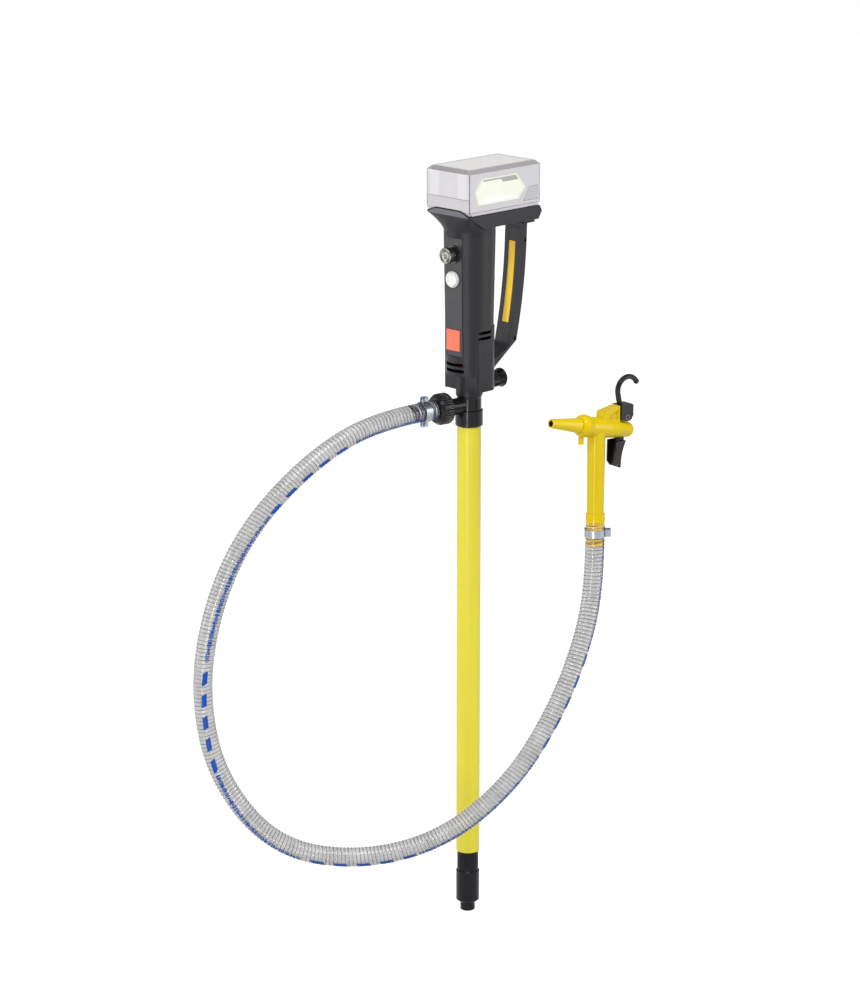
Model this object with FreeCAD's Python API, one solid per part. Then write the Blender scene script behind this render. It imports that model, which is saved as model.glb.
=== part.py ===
"""Battery drum pump: motor head with a closed handle, dip tube, clear hose and trigger nozzle.

Frame, in millimetres: the origin is on the dip tube's axis at the bottom face of the tube collar.
+Z is up, the control panel faces -Y and the handle is at +Y.  The outlet, the nozzle and the
nozzle's barrel have frames of their own, set by in_outlet, in_nozzle and in_barrel.
"""
import FreeCAD, Part
import math
import os

from FreeCAD import Rotation, Vector

# ---- clearances -------------------------------------------------------------------------------
FIT = 0.1           # a push fit between two fixed pieces
RUN = 0.3           # a running fit between pieces that move
SEAM = 0.4          # a visible line between two covers

# ---- dip tube and foot ------------------------------------------------------------------------
TUBE_RADIUS = 16.0
TUBE_WALL = 2.2
TUBE_REACH = 595.5          # bare tube below the collar
TUBE_SOCKET = 16.5          # tube inside the collar
TUBE_STEP = 0.5             # how much thinner it is there
COLLAR_WALL = 2.3
COLLAR_HEIGHT = 22.0
FOOT_NECK_RADIUS = 14.45
FOOT_NECK_LENGTH = 27.5
FOOT_SPIGOT = 24.0
SLEEVE_RADIUS = 15.85
SLEEVE_WALL = 2.8
SLEEVE_LENGTH = 45.0
NOSE_RADIUS = 10.0
NOSE_LENGTH = 14.0
INLET_RADIUS = 6.5

# ---- pump shaft -------------------------------------------------------------------------------
SHAFT_RADIUS = 3.0
BUSH_PITCH = 150.0
BUSH_LENGTH = 12.0
IMPELLER_RADIUS = 10.6
IMPELLER_HEIGHT = 12.0
DOG_RADIUS = 10.0
DOG_HEIGHT = 9.0

# ---- outlet tee and union ---------------------------------------------------------------------
TEE_RADIUS = 16.3
TEE_TOP = 42.0
OUTLET_HEIGHT = 28.0
OUTLET_HEADING = -100.0     # degrees from +X: a little to the left of the front
OUTLET_RADIUS = 11.0
OUTLET_BORE = 8.5
THREAD_RADIUS = 14.0
UNION_START = 35.0
UNION_LENGTH = 20.5
UNION_RADIUS = 20.0
UNION_RIBS = 18
LIP_LENGTH = 3.0
WASHER_THICKNESS = 2.0
FLANGE_THICKNESS = 2.2

# ---- hose -------------------------------------------------------------------------------------
HOSE_RADIUS = 13.0
HOSE_BORE = 9.5
TAIL_IN_HOSE = 42.0
BARB_PITCH = 9.0
CLAMP_THICKNESS = 1.1
CLAMP_WIDTH = 10.0
WORM_AXIS = 17.0            # the worm screw's distance from the hose's axis
WORM_RADIUS = 2.5

# ---- motor head -------------------------------------------------------------------------------
WALL = 3.0
COLUMN_FOOT = 72.0
COLUMN_TOP = 256.0
COLUMN_FOOT_RADIUS = 30.5
COLUMN_TOP_RADIUS = 33.9
NECK_RADIUS = 17.8
NECK_BORE = 8.0
BLOCK_RADIUS = 33.0         # the round back of the lower block
BLOCK_HALF = 30.5           # its flat sides
BLOCK_FRONT = -16.0
BLOCK_FOOT = 50.0
BLOCK_TOP = 134.8
PANEL_HALF = 15.5
PANEL_FACE = -30.0
PANEL_THICKNESS = 3.0
PANEL_FOOT = 98.0
PANEL_TOP = 255.0
KNOB_HEIGHT = 233.0
KNOB_RADIUS = 10.5
KNOB_REACH = 14.8
BUTTON_HEIGHT = 200.0
BUTTON_RADIUS = 9.0
BUTTON_REACH = 5.0
BUTTON_TRAVEL = 2.5
BADGE_HALF = 12.0
BADGE_FOOT = 105.5
BADGE_TOP = 133.0

# ---- handle -----------------------------------------------------------------------------------
HANDLE_HALF = 14.0
HANDLE_ROUND = 4.0
INSERT_HALF = 5.5
INSERT_FOOT = 129.0
INSERT_TOP = 236.0
INSERT_PROUD = 0.6
INSERT_DEPTH = 1.4
SCREW_PLACES = [(26.0, 246.0), (26.0, 196.0), (91.0, 238.0), (71.5, 108.0), (25.5, 106.0)]     # (y, z)

# ---- battery deck and battery -----------------------------------------------------------------
DECK_HALF = 38.5
DECK_FRONT = -38.4
DECK_REAR = 95.7
DECK_FOOT = 269.0
DECK_TOP = 287.0
FLARE_TOP = 285.3           # the flare under the deck's front, from its corners to the round column
FLARE_WAIST = 274.0
FLARE_FOOT = 263.0
FLARE_REAR = 12.0
PACK_HALF = 38.7
PACK_FRONT = -39.9
PACK_REAR = 91.5
PACK_GAP = 1.0
PACK_TOP = 347.0
PACK_CHAMFER = 5.0
PACK_WALL = 2.0
PACK_SEAM = 309.0
PACK_SHELF = 301.5          # the floor under the cells
SIDE_SEAM = 292.0
CORNER_WIDTH = 1.2          # the cover's front corner beside the foot's front wall
LABEL_OUTLINE = [(-30.0, 318.0), (-18.0, 335.0), (46.5, 335.0), (64.0, 315.0), (50.5, 300.0), (-24.0, 300.0)]
RELEASE_OUTLINE = [(60.0, 296.5), (71.5, 314.0), (87.5, 314.0), (87.5, 296.5)]
RAIL_WEB = (20.0, 24.0)
RAIL_FLANGE = (20.0, 29.0)
RAIL_FRONT = -30.0
RAIL_REAR = 86.0
RAIL_HEIGHT = 10.0
RAIL_LIP = 4.0
TERMINAL_FRONT = 62.0
BLADE_FRONT = 40.0
CELL_RADIUS = 9.2
CELL_LENGTH = 65.0
CELL_COLUMNS = 6
CELL_LAYERS = 2
RELEASE_TRAVEL = 2.5
RELEASE_THICKNESS = 3.0

# ---- motor ------------------------------------------------------------------------------------
MOTOR_RADIUS = 21.0
MOTOR_FOOT = 112.0
MOTOR_TOP = 176.0
MOTOR_WALL = 1.5
MOTOR_SHAFT_RADIUS = 2.5
ARMATURE_RADIUS = 16.0
FAN_RADIUS = 19.0
PEG_HEIGHT = 55.0
PEG_BASE = 33.0
PEG_REACH = 60.0

# ---- nozzle -----------------------------------------------------------------------------------
NOZZLE_AT = Vector(169.2, 63.1, 15.9)       # where the grip's axis meets the barrel's axis
NOZZLE_HEADING = -97.0                      # degrees from +X
BARREL_TILT = 12.0
BARREL_RADIUS = 13.0
BARREL_BORE = 9.0
BARREL_REAR = 52.0
BARREL_REAR_RADIUS = 10.2
RING_RADIUS = 15.2
RING_START = 14.0
RING_END = 31.0
SPOUT_END = 78.7
STEM_RADIUS = 2.0
SPOUT_ROOT_RADIUS = 10.0
SPOUT_TIP_RADIUS = 6.0
SPOUT_BORE = 3.7
GRIP_TOP_RADIUS = 12.1
GRIP_END_RADIUS = 11.2
GRIP_LENGTH = 115.5
GRIP_BORE = 8.0
TAIL_COLLAR = 11.9
TAIL_COLLAR_RADIUS = 12.7
NOZZLE_TAIL_IN_HOSE = 31.0
PIVOT = (-39.6, -11.2)                      # the trigger's pin, forward and up from NOZZLE_AT
PIN_RADIUS = 1.5
TRIGGER_HALF = 10.0
TRIGGER_WALL = 2.0
TRIGGER_ARM_HALF = 5.0
HOOK_BOLT = (-45.7, 7.8)
HOOK_BLOCK_HALF = 9.0
BOLT_RADIUS = 2.5
HOOK_LUG_HALF = 3.5
HOOK_CENTRE = (-52.8, 42.5)
HOOK_MEAN_RADIUS = 17.0
HOOK_SECTION = 3.6
TRIGGER_SIDE = [(-27.0, -22.5), (-42.5, -22.5), (-40.5, -27.0), (-37.0, -36.0), (-34.8, -46.0),
                (-34.0, -57.5), (-31.5, -57.5), (-26.5, -51.0)]

X = Vector(1, 0, 0)
Y = Vector(0, 1, 0)
Z = Vector(0, 0, 1)


# ---- plain shapes -----------------------------------------------------------------------------
def box(x0, x1, y0, y1, z0, z1):
    """A block between two corners."""
    return Part.makeBox(x1 - x0, y1 - y0, z1 - z0, Vector(x0, y0, z0))


def rod(radius, start, end, axis=Z, at=Vector()):
    """A cylinder from start to end along an axis through a point."""
    return Part.makeCylinder(radius, end - start, at + axis * start, axis)


def ring(outer, inner, start, end, axis=Z, at=Vector()):
    """A tube from start to end along an axis through a point."""
    return rod(outer, start, end, axis, at).cut(rod(inner, start - 1, end + 1, axis, at))


def turned(outline, axis=Z):
    """A solid turned about an axis from (radius, height) corners."""
    points = [Vector(radius, 0, height) for radius, height in outline]
    solid = Part.Face(Part.makePolygon(points + points[:1])).revolve(Vector(), Z, 360)
    if axis.z < 0.5:
        solid.rotate(Vector(), Y if axis.x > 0.5 else X, 90 if axis.x > 0.5 else -90)
    return solid


def plate(outline, y0, y1):
    """A plate with a side outline of (forward, up) corners, from y0 to y1."""
    points = [Vector(x, y0, z) for x, z in outline]
    return Part.Face(Part.makePolygon(points + points[:1])).extrude(Y * (y1 - y0))


def plate_x(outline, half):
    """A plate with an outline of (y, z) corners, from x = -half to +half."""
    points = [Vector(-half, y, z) for y, z in outline]
    return Part.Face(Part.makePolygon(points + points[:1])).extrude(X * 2 * half)


def joined(*shapes):
    """One solid from several that overlap."""
    return shapes[0].multiFuse(list(shapes[1:])).removeSplitter()


def together(*shapes):
    """Several solids kept apart in one sub-part."""
    solids = [solid for shape in shapes for solid in shape.Solids]
    return Part.makeCompound(solids)


def mirrored(shape):
    """The same shape on the other side of the plane x = 0."""
    return shape.mirror(Vector(), X)


def around(shape, count, axis=Z):
    """Copies of a shape spaced evenly about an axis through the origin."""
    copies = []
    for index in range(count):
        copy = shape.copy()
        copy.rotate(Vector(), axis, index * 360.0 / count)
        copies.append(copy)
    return copies


def in_outlet(shape):
    """From the outlet's frame (X along the outlet, Z up) to the pump's."""
    moved = shape.copy()
    moved.rotate(Vector(), Z, OUTLET_HEADING)
    moved.translate(Vector(0, 0, OUTLET_HEIGHT))
    return moved


def in_nozzle(shape):
    """From the nozzle's frame (X forward, Z up) to the pump's."""
    moved = shape.copy()
    moved.rotate(Vector(), Z, NOZZLE_HEADING)
    moved.translate(NOZZLE_AT)
    return moved


def tilted(shape):
    """From the barrel's frame (X along the barrel) to the nozzle's."""
    moved = shape.copy()
    moved.rotate(Vector(), Y, -BARREL_TILT)
    return moved


def in_barrel(shape):
    """From the barrel's frame to the pump's."""
    return in_nozzle(tilted(shape))


# ---- levels that follow from the sizes ---------------------------------------------------------
TUBE_BORE = TUBE_RADIUS - TUBE_WALL
TUBE_FOOT = -TUBE_REACH
SLEEVE_TOP = TUBE_FOOT - FOOT_NECK_LENGTH
SLEEVE_FOOT = SLEEVE_TOP - SLEEVE_LENGTH
NOSE_FOOT = SLEEVE_FOOT - NOSE_LENGTH
CORE_RADIUS = SLEEVE_RADIUS - SLEEVE_WALL
CHAMBER_RADIUS = IMPELLER_RADIUS + RUN
IMPELLER_FOOT = SLEEVE_FOOT + 6.0
IMPELLER_TOP = IMPELLER_FOOT + IMPELLER_HEIGHT
SEAL_FOOT = TEE_TOP - 6.0
DOG_FOOT = COLUMN_FOOT + WALL + RUN + 0.2
DOG_SPLIT = DOG_FOOT + DOG_HEIGHT
LEDGE_FOOT = MOTOR_FOOT - WALL
PANEL_BACK = PANEL_FACE + PANEL_THICKNESS
WALL_BACK = PANEL_BACK + 2.5
HOSE_START = UNION_START + UNION_LENGTH + 0.5
FLANGE_END = UNION_START + UNION_LENGTH - LIP_LENGTH - FIT
FLANGE_START = FLANGE_END - FLANGE_THICKNESS
WASHER_START = FLANGE_START - WASHER_THICKNESS
TAIL_END = HOSE_START + TAIL_IN_HOSE
HOSE_END_DROP = GRIP_LENGTH + TAIL_COLLAR
TAIL_RADIUS = HOSE_BORE - FIT
PACK_FOOT = DECK_TOP + PACK_GAP


# ---- dip tube and foot ------------------------------------------------------------------------
def pump_tube():
    """The dip tube, pushed up into the collar."""
    return joined(ring(TUBE_RADIUS, TUBE_BORE, TUBE_FOOT, -FIT / 2),
                  ring(TUBE_RADIUS - TUBE_STEP, TUBE_BORE, -1, TUBE_SOCKET))


def tube_collar():
    """The collar that holds the tube, notched under the outlet."""
    outer = TUBE_RADIUS + COLLAR_WALL
    inner = TUBE_RADIUS - TUBE_STEP + FIT
    body = turned([(inner, 0), (outer - 1.2, 0), (outer, 1.2), (outer, COLLAR_HEIGHT - 0.8),
                   (outer - 0.8, COLLAR_HEIGHT), (inner, COLLAR_HEIGHT)])
    return body.cut(in_outlet(rod(OUTLET_RADIUS + FIT, 0, UNION_START, X)))


def foot_body():
    """The pump foot: a spigot in the tube, a grooved neck, the impeller's chamber and the nose."""
    body = joined(rod(TUBE_BORE - FIT, TUBE_FOOT, TUBE_FOOT + FOOT_SPIGOT),
                  rod(FOOT_NECK_RADIUS, SLEEVE_TOP, TUBE_FOOT),
                  rod(CORE_RADIUS - FIT, SLEEVE_FOOT, SLEEVE_TOP),
                  turned([(0, NOSE_FOOT), (NOSE_RADIUS - 1, NOSE_FOOT), (NOSE_RADIUS, NOSE_FOOT + 1),
                          (NOSE_RADIUS, SLEEVE_FOOT), (0, SLEEVE_FOOT)]))
    groove = rod(1.0, SLEEVE_TOP + 3, TUBE_FOOT - 3, Z, Vector(FOOT_NECK_RADIUS + 0.2, 0, 0))
    bores = [rod(INLET_RADIUS, NOSE_FOOT - 1, IMPELLER_FOOT),
             rod(CHAMBER_RADIUS, IMPELLER_FOOT - RUN, IMPELLER_TOP + RUN),
             rod(NOSE_RADIUS - 1, IMPELLER_TOP, TUBE_FOOT + FOOT_SPIGOT + 1)]
    return body.cut(bores + around(groove, 24))


def foot_sleeve():
    """The sleeve around the foot's chamber, chamfered at both ends."""
    inner = CORE_RADIUS
    outer = SLEEVE_RADIUS
    return turned([(inner, SLEEVE_FOOT), (outer - 1.5, SLEEVE_FOOT), (outer, SLEEVE_FOOT + 1.5),
                   (outer, SLEEVE_TOP - 1.5), (outer - 1.5, SLEEVE_TOP), (inner, SLEEVE_TOP)])


# ---- pump shaft -------------------------------------------------------------------------------
def drive_shaft():
    """The long shaft from the coupling down to the impeller."""
    return rod(SHAFT_RADIUS, IMPELLER_FOOT, DOG_FOOT + DOG_HEIGHT / 2)


def impeller():
    """The impeller: a hub with four pitched blades."""
    hub = ring(SHAFT_RADIUS + 2, SHAFT_RADIUS, IMPELLER_FOOT, IMPELLER_TOP)
    blade = box(SHAFT_RADIUS + 1, IMPELLER_RADIUS - RUN, -0.8, 0.8, IMPELLER_FOOT + 1, IMPELLER_TOP - 1)
    blade.rotate(Vector(0, 0, (IMPELLER_FOOT + IMPELLER_TOP) / 2), X, 25)
    return joined(hub, *around(blade, 4))


def shaft_bushes():
    """Spoked bushes that guide the shaft inside the tube."""
    bushes = []
    for number in range(1, int((TUBE_REACH - FOOT_SPIGOT - BUSH_LENGTH) / BUSH_PITCH) + 1):
        foot = -number * BUSH_PITCH
        rim = ring(TUBE_BORE - FIT, TUBE_BORE - 1.8, foot, foot + BUSH_LENGTH)
        hub = ring(SHAFT_RADIUS + 2.5, SHAFT_RADIUS + FIT, foot, foot + BUSH_LENGTH)
        spoke = box(SHAFT_RADIUS + 2, TUBE_BORE - 1, -1, 1, foot, foot + BUSH_LENGTH)
        bushes.append(joined(rim, hub, *around(spoke, 3)))
    return together(*bushes)


def shaft_seal():
    """The lip seal at the top of the tee."""
    return ring(SHAFT_RADIUS + 4, SHAFT_RADIUS + FIT / 2, SEAL_FOOT + FIT, TEE_TOP - FIT)


def dog(foot, bore):
    """Half of the claw coupling: a disc with two claws, cut to mesh with its partner."""
    disc = rod(DOG_RADIUS, foot, foot + DOG_HEIGHT / 2)
    claws = ring(DOG_RADIUS, DOG_RADIUS - 4, foot, foot + DOG_HEIGHT)
    quarter = box(-DOG_RADIUS, DOG_RADIUS, -3, 3, foot - 1, foot + DOG_HEIGHT + 1)
    return joined(disc, claws.common(quarter)).cut(rod(bore, foot - 1, foot + DOG_HEIGHT + 1))


def driven_dog():
    """The coupling half on the pump shaft."""
    return dog(DOG_FOOT, SHAFT_RADIUS)


def drive_dog():
    """The coupling half on the motor shaft, turned over and a quarter turn round."""
    half = dog(0, MOTOR_SHAFT_RADIUS)
    half.rotate(Vector(), X, 180)
    half.rotate(Vector(), Z, 90)
    half.translate(Vector(0, 0, DOG_FOOT + DOG_HEIGHT * 1.5 + RUN))
    return half


# ---- outlet tee, union and hose tail -----------------------------------------------------------
def outlet_tee():
    """The tee under the motor head, with a spigot in the tube and a threaded side outlet."""
    body = joined(turned([(0, COLLAR_HEIGHT), (TEE_RADIUS, COLLAR_HEIGHT), (TEE_RADIUS, TEE_TOP - 4),
                          (NECK_RADIUS - 0.6, TEE_TOP - 1), (NECK_RADIUS - 0.6, TEE_TOP), (0, TEE_TOP)]),
                  rod(TUBE_BORE - FIT, -20, COLLAR_HEIGHT),
                  rod(TUBE_RADIUS - TUBE_STEP, TUBE_SOCKET, COLLAR_HEIGHT),
                  in_outlet(rod(OUTLET_RADIUS, 0, UNION_START + 1, X)),
                  in_outlet(rod(THREAD_RADIUS, UNION_START + 1, WASHER_START, X)))
    return body.cut([rod(TUBE_BORE - 3, -21, OUTLET_HEIGHT + 5),
                     rod(SHAFT_RADIUS + RUN, 0, TEE_TOP + 1),
                     rod(SHAFT_RADIUS + 4 + FIT, SEAL_FOOT, TEE_TOP + 1),
                     in_outlet(rod(OUTLET_BORE, 0, WASHER_START + 1, X))])


def outlet_washer():
    """The flat seal between the tee and the hose tail."""
    return in_outlet(ring(THREAD_RADIUS - 1, OUTLET_BORE, WASHER_START + 0.05, FLANGE_START - 0.05, X))


def barbs(start, end, radius):
    """Shallow saw-tooth rings along a tail that faces +X."""
    count = int((end - start) / BARB_PITCH)
    rings = []
    for index in range(count):
        at = end - BARB_PITCH * (index + 1) + 1.0
        rings.append(turned([(radius - 2, at), (radius, at), (radius - 1, at + BARB_PITCH - 2),
                             (radius - 2, at + BARB_PITCH - 2)], X))
    return rings


def hose_tail():
    """The flanged and barbed tail that the union nut draws against the tee."""
    body = joined(rod(THREAD_RADIUS - 0.4, FLANGE_START, FLANGE_END, X),
                  rod(TAIL_RADIUS - 1, FLANGE_END - 0.5, TAIL_END, X),
                  *barbs(HOSE_START, TAIL_END, TAIL_RADIUS))
    return in_outlet(body.cut(rod(OUTLET_BORE - 1, FLANGE_START - 1, TAIL_END + 1, X)))


def union_nut():
    """The ribbed union nut: free to turn on the thread and against the tail's flange."""
    end = UNION_START + UNION_LENGTH
    body = turned([(0, UNION_START), (UNION_RADIUS - 1.5, UNION_START), (UNION_RADIUS, UNION_START + 1.5),
                   (UNION_RADIUS, end - 4), (UNION_RADIUS - 3, end), (0, end)], X)
    groove = rod(1.1, UNION_START + 1.5, end - 3, X, Vector(0, 0, UNION_RADIUS + 0.2))
    return in_outlet(body.cut([rod(THREAD_RADIUS + RUN, UNION_START - 1, end - LIP_LENGTH, X),
                               rod(TAIL_RADIUS + RUN, UNION_START, end + 1, X)]
                              + around(groove, UNION_RIBS, X)))


def outlet_clamp_band():
    """The band of the outlet's clamp, with bent ears above and below."""
    middle = (HOSE_START + TAIL_END) / 2 - 5
    start = middle - CLAMP_WIDTH / 2
    end = middle + CLAMP_WIDTH / 2
    inner = HOSE_RADIUS + 0.05
    outer = inner + CLAMP_THICKNESS
    pieces = [ring(outer, inner, start, end, X)]
    for side in (-1, 1):
        for lean in (-1, 1):
            ear = box(start, end, 0, CLAMP_THICKNESS, 0, 7.0)
            ear.translate(Vector(0, 1.4 if lean > 0 else -1.4 - CLAMP_THICKNESS, inner))
            ear.rotate(Vector(), X, 0 if side > 0 else 180)
            pieces.append(ear)
    body = joined(*pieces)
    gaps = [box(start - 1, end + 1, -1.4, 1.4, side * HOSE_RADIUS - 2, side * HOSE_RADIUS + 2)
            for side in (-1, 1)]
    holes = [rod(1.7, -6, 6, Y, Vector(middle, 0, side * (outer + 3))) for side in (-1, 1)]
    return in_outlet(body.cut(gaps + holes))


def outlet_clamp_screws():
    """The outlet clamp's two screws with their nuts."""
    middle = (HOSE_START + TAIL_END) / 2 - 5
    level = HOSE_RADIUS + 0.05 + CLAMP_THICKNESS + 3
    screws = []
    for side in (-1, 1):
        at = Vector(middle, 0, side * level)
        screws.append(joined(rod(1.6, -4.5, 4.5, Y, at), rod(2.6, 2.6, 4.8, Y, at), rod(2.8, -4.6, -2.6, Y, at)))
    return in_outlet(together(*screws))


def outlet_clamp():
    """The two-bolt band clamp on the hose: band and screws."""
    return together(outlet_clamp_band(), outlet_clamp_screws())


# ---- hose -------------------------------------------------------------------------------------
def hose_points():
    """The corners of the hose's route, from the outlet round to the nozzle's tail."""
    heading = in_outlet(Part.Vertex(Vector(HOSE_START, 0, 0))).Point
    onward = in_outlet(Part.Vertex(Vector(HOSE_START + 90, 0, 0))).Point
    end = NOZZLE_AT - Z * HOSE_END_DROP
    return [heading, onward,
            Vector(-50, -240, -14), Vector(-80, -325, -96), Vector(-98, -372, -198),
            Vector(-102, -390, -310), Vector(-82, -378, -421), Vector(-25, -332, -510),
            Vector(50, -255, -530), Vector(120, -170, -505), Vector(170, -95, -435),
            Vector(186, -27, -348), Vector(182, 30, -262),
            end - Z * 78, end]


def rounded_path(points):
    """Straight runs joined by tangent arcs, each as large as its two runs allow."""
    edges = []
    radii = []
    last = points[0]
    for before, corner, after in zip(points, points[1:], points[2:]):
        back = (before - corner).normalize()
        ahead = (after - corner).normalize()
        half_turn = (math.pi - back.getAngle(ahead)) / 2
        cut = 0.45 * min((before - corner).Length, (after - corner).Length)
        radius = cut / math.tan(half_turn)
        bisector = (back + ahead).normalize()
        centre = corner + bisector * (radius / math.cos(half_turn))
        start = corner + back * cut
        end = corner + ahead * cut
        edges.append(Part.makeLine(last, start))
        edges.append(Part.Arc(start, centre - bisector * radius, end).toShape())
        radii.append(radius)
        last = end
    edges.append(Part.makeLine(last, points[-1]))
    return Part.Wire(edges), radii


def hose():
    """The free hose: a plain tube along its whole route."""
    path, radii = rounded_path(hose_points())
    start = path.Edges[0].firstVertex().Point
    along = path.Edges[0].tangentAt(path.Edges[0].FirstParameter)
    sections = [Part.Wire(Part.makeCircle(radius, start, along)) for radius in (HOSE_RADIUS, HOSE_BORE)]
    outer, inner = [path.makePipeShell([section], True, False) for section in sections]
    tube = outer.cut(inner)
    expected = math.pi * (HOSE_RADIUS ** 2 - HOSE_BORE ** 2) * path.Length
    print("hose length %.1f, volume ratio %.5f" % (path.Length, tube.Volume / expected))
    print("hose radii", " ".join("%.0f" % radius for radius in radii))
    return tube


# ---- motor head's housing ---------------------------------------------------------------------
def handle_face(shift=0.0):
    """The handle's side outline as a face at x = 0, its inner face moved back by shift."""
    def at(y, z):
        return Vector(0, y, z)

    top = DECK_FOOT
    edges = [Part.makeLine(at(97, top), at(96, 250)),
             Part.Arc(at(96, 250), at(90.5, 177), at(76.9, 104)).toShape(),
             Part.makeLine(at(76.9, 104), at(34.3, 73)),
             Part.makeLine(at(34.3, 73), at(20, 64)),
             Part.makeLine(at(20, 64), at(20, 80)),
             Part.makeLine(at(20, 80), at(53, 95 + shift)),
             Part.Arc(at(53, 95 + shift), at(59.5 + shift, 99), at(63.5 + shift, 108)).toShape(),
             Part.Arc(at(63.5 + shift, 108), at(75.5 + shift, 175), at(81 + shift, 248)).toShape(),
             Part.Arc(at(81 + shift, 248), at(78.5, 262), at(70, top)).toShape(),
             Part.makeLine(at(70, top), at(97, top))]
    return Part.Face(Part.Wire(edges))


def handle_bar(half, shift=0.0):
    """The handle as a bar of even width."""
    face = handle_face(shift)
    face.translate(X * -half)
    return face.extrude(X * 2 * half)


def lower_block(inset, foot, top):
    """The flat-sided block behind and below the column."""
    sides = box(-BLOCK_HALF + inset, BLOCK_HALF - inset, BLOCK_FRONT + inset, BLOCK_RADIUS, foot, top)
    return sides.common(rod(BLOCK_RADIUS - inset, foot, top))


def screw_face(y):
    """How far from the middle plane a housing screw's head is sunk into the wall."""
    return HANDLE_HALF - 2.0 if y > 40 else 16.0


def housing():
    """The whole housing before it is split: column, lower block, neck and handle."""
    rounded_handle = handle_bar(HANDLE_HALF)
    rear_edges = [edge for edge in rounded_handle.Edges
                  if edge.BoundBox.XLength < 1e-6 and edge.BoundBox.YMin > 34 and edge.BoundBox.YMax > 90
                  or abs(edge.BoundBox.YMin - 34.3) < 0.1]
    rear_edges = [edge for edge in rear_edges if edge.BoundBox.ZLength > 1]
    rounded_handle = rounded_handle.makeFillet(HANDLE_ROUND, rear_edges)
    outer = joined(Part.makeCone(COLUMN_FOOT_RADIUS, COLUMN_TOP_RADIUS, COLUMN_TOP - COLUMN_FOOT,
                                 Vector(0, 0, COLUMN_FOOT)),
                   lower_block(0, BLOCK_FOOT, BLOCK_TOP), rod(NECK_RADIUS, TEE_TOP, BLOCK_TOP),
                   rounded_handle)
    column_space = Part.makeCone(COLUMN_FOOT_RADIUS - WALL, COLUMN_TOP_RADIUS - WALL,
                                 COLUMN_TOP - COLUMN_FOOT, Vector(0, 0, COLUMN_FOOT + WALL))
    column_space = column_space.common(box(-40, 40, WALL_BACK, 40, COLUMN_FOOT, COLUMN_TOP + 1))
    ledge = ring(COLUMN_FOOT_RADIUS, 14, LEDGE_FOOT, MOTOR_FOOT)
    cup = ring(MOTOR_RADIUS + 2.5, MOTOR_RADIUS + FIT, LEDGE_FOOT, MOTOR_FOOT + 6)
    bosses = [rod(4.0, -18, 18, X, Vector(0, y, z)) for y, z in SCREW_PLACES if y < 40]
    inner_works = joined(ledge, cup, *bosses).common(column_space)
    column_space = column_space.cut(inner_works)
    block_space = lower_block(WALL, BLOCK_FOOT + WALL, COLUMN_FOOT).cut(rod(NECK_RADIUS, 0, COLUMN_FOOT))
    handle_space = handle_face().makeOffset2D(-2.6)
    handle_space.translate(X * (-HANDLE_HALF + 2.6))
    handle_space = handle_space.extrude(X * 2 * (HANDLE_HALF - 2.6))
    handle_space = handle_space.cut(joined(lower_block(0, 0, BLOCK_TOP), rod(COLUMN_TOP_RADIUS, 0, COLUMN_TOP)))
    handle_bosses = [rod(4.5, -20, 20, X, Vector(0, y, z)) for y, z in SCREW_PLACES if y > 40]
    handle_space = handle_space.cut(handle_bosses)
    insert_pocket = grip_insert_bar(FIT)
    motor_space = rod(MOTOR_RADIUS + FIT, MOTOR_FOOT, MOTOR_TOP + 5 + FIT)
    cuts = [column_space, block_space, handle_space, insert_pocket, motor_space,
            rod(NECK_BORE, TEE_TOP - 1, COLUMN_FOOT + WALL + 1),
            box(-PANEL_HALF, PANEL_HALF, -60, PANEL_BACK, PANEL_FOOT, PANEL_TOP),
            rod(BUTTON_RADIUS + RUN, -60, -20, Y, Vector(0, 0, BUTTON_HEIGHT)),
            rod(4.0, -60, -20, Y, Vector(0, 0, KNOB_HEIGHT)),
            rod(3.0, 20, 60, Y, Vector(0, 0, PEG_HEIGHT)).common(box(-9, 9, 20, 40, 40, 70))]
    for foot in (76.3, 84.4):
        cuts.append(slot(16.4, foot, 4.3).translated(Vector(0, -28, 0)))
    for foot in (119.9, 127.3):
        for side in (-1, 1):
            vent = slot(11.7, foot, 4.2)
            vent.rotate(Vector(), Z, 90)
            vent.translate(Vector(side * (BLOCK_HALF + 1), -1.8, 0))
            cuts.append(vent)
    for y, z in SCREW_PLACES:
        head_face = screw_face(y)
        at = Vector(0, y, z)
        cuts.append(rod(1.6, -9, head_face, X, at))
        cuts.append(rod(3.2, head_face - 3, 40, X, at))
    return outer.cut(cuts)


def slot(half_width, foot, height):
    """A round-ended cooling slot through a wall that faces the Y axis, centred on x = 0."""
    radius = height / 2
    middle = foot + radius
    ends = [rod(radius, -7, 7, Y, Vector(side * (half_width - radius), 0, middle)) for side in (-1, 1)]
    return joined(box(-half_width + radius, half_width - radius, -7, 7, foot, foot + height), *ends)


def grip_insert_bar(gap=0.0):
    """The strip let into the handle's inner face, grown by a gap for its pocket."""
    half = INSERT_HALF + gap
    band = box(-half, half, 55, 95, INSERT_FOOT - gap, INSERT_TOP + gap)
    front = handle_bar(half)
    front.translate(Y * -(INSERT_PROUD + gap))
    back = handle_bar(half + 1)
    back.translate(Y * (INSERT_DEPTH + gap))
    return band.common(front).cut(back)


def grip_insert():
    """The soft coloured strip on the inside of the handle."""
    return grip_insert_bar()


def housing_left():
    """The half of the housing at -X."""
    return housing().common(box(-60, 0, -60, 120, 0, 300))


def housing_right():
    """The half of the housing at +X."""
    return housing().common(box(0, 60, -60, 120, 0, 300))


def housing_screws():
    """The screws that hold the two halves together."""
    screws = []
    for y, z in SCREW_PLACES:
        head_face = screw_face(y)
        at = Vector(0, y, z)
        head = rod(2.9, head_face - 2.9, head_face - 0.8, X, at).cut(rod(1.2, head_face - 2.0, head_face, X, at))
        screws.append(joined(rod(1.5, -8.5, head_face - 2.0, X, at), head))
    return together(*screws)


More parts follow.
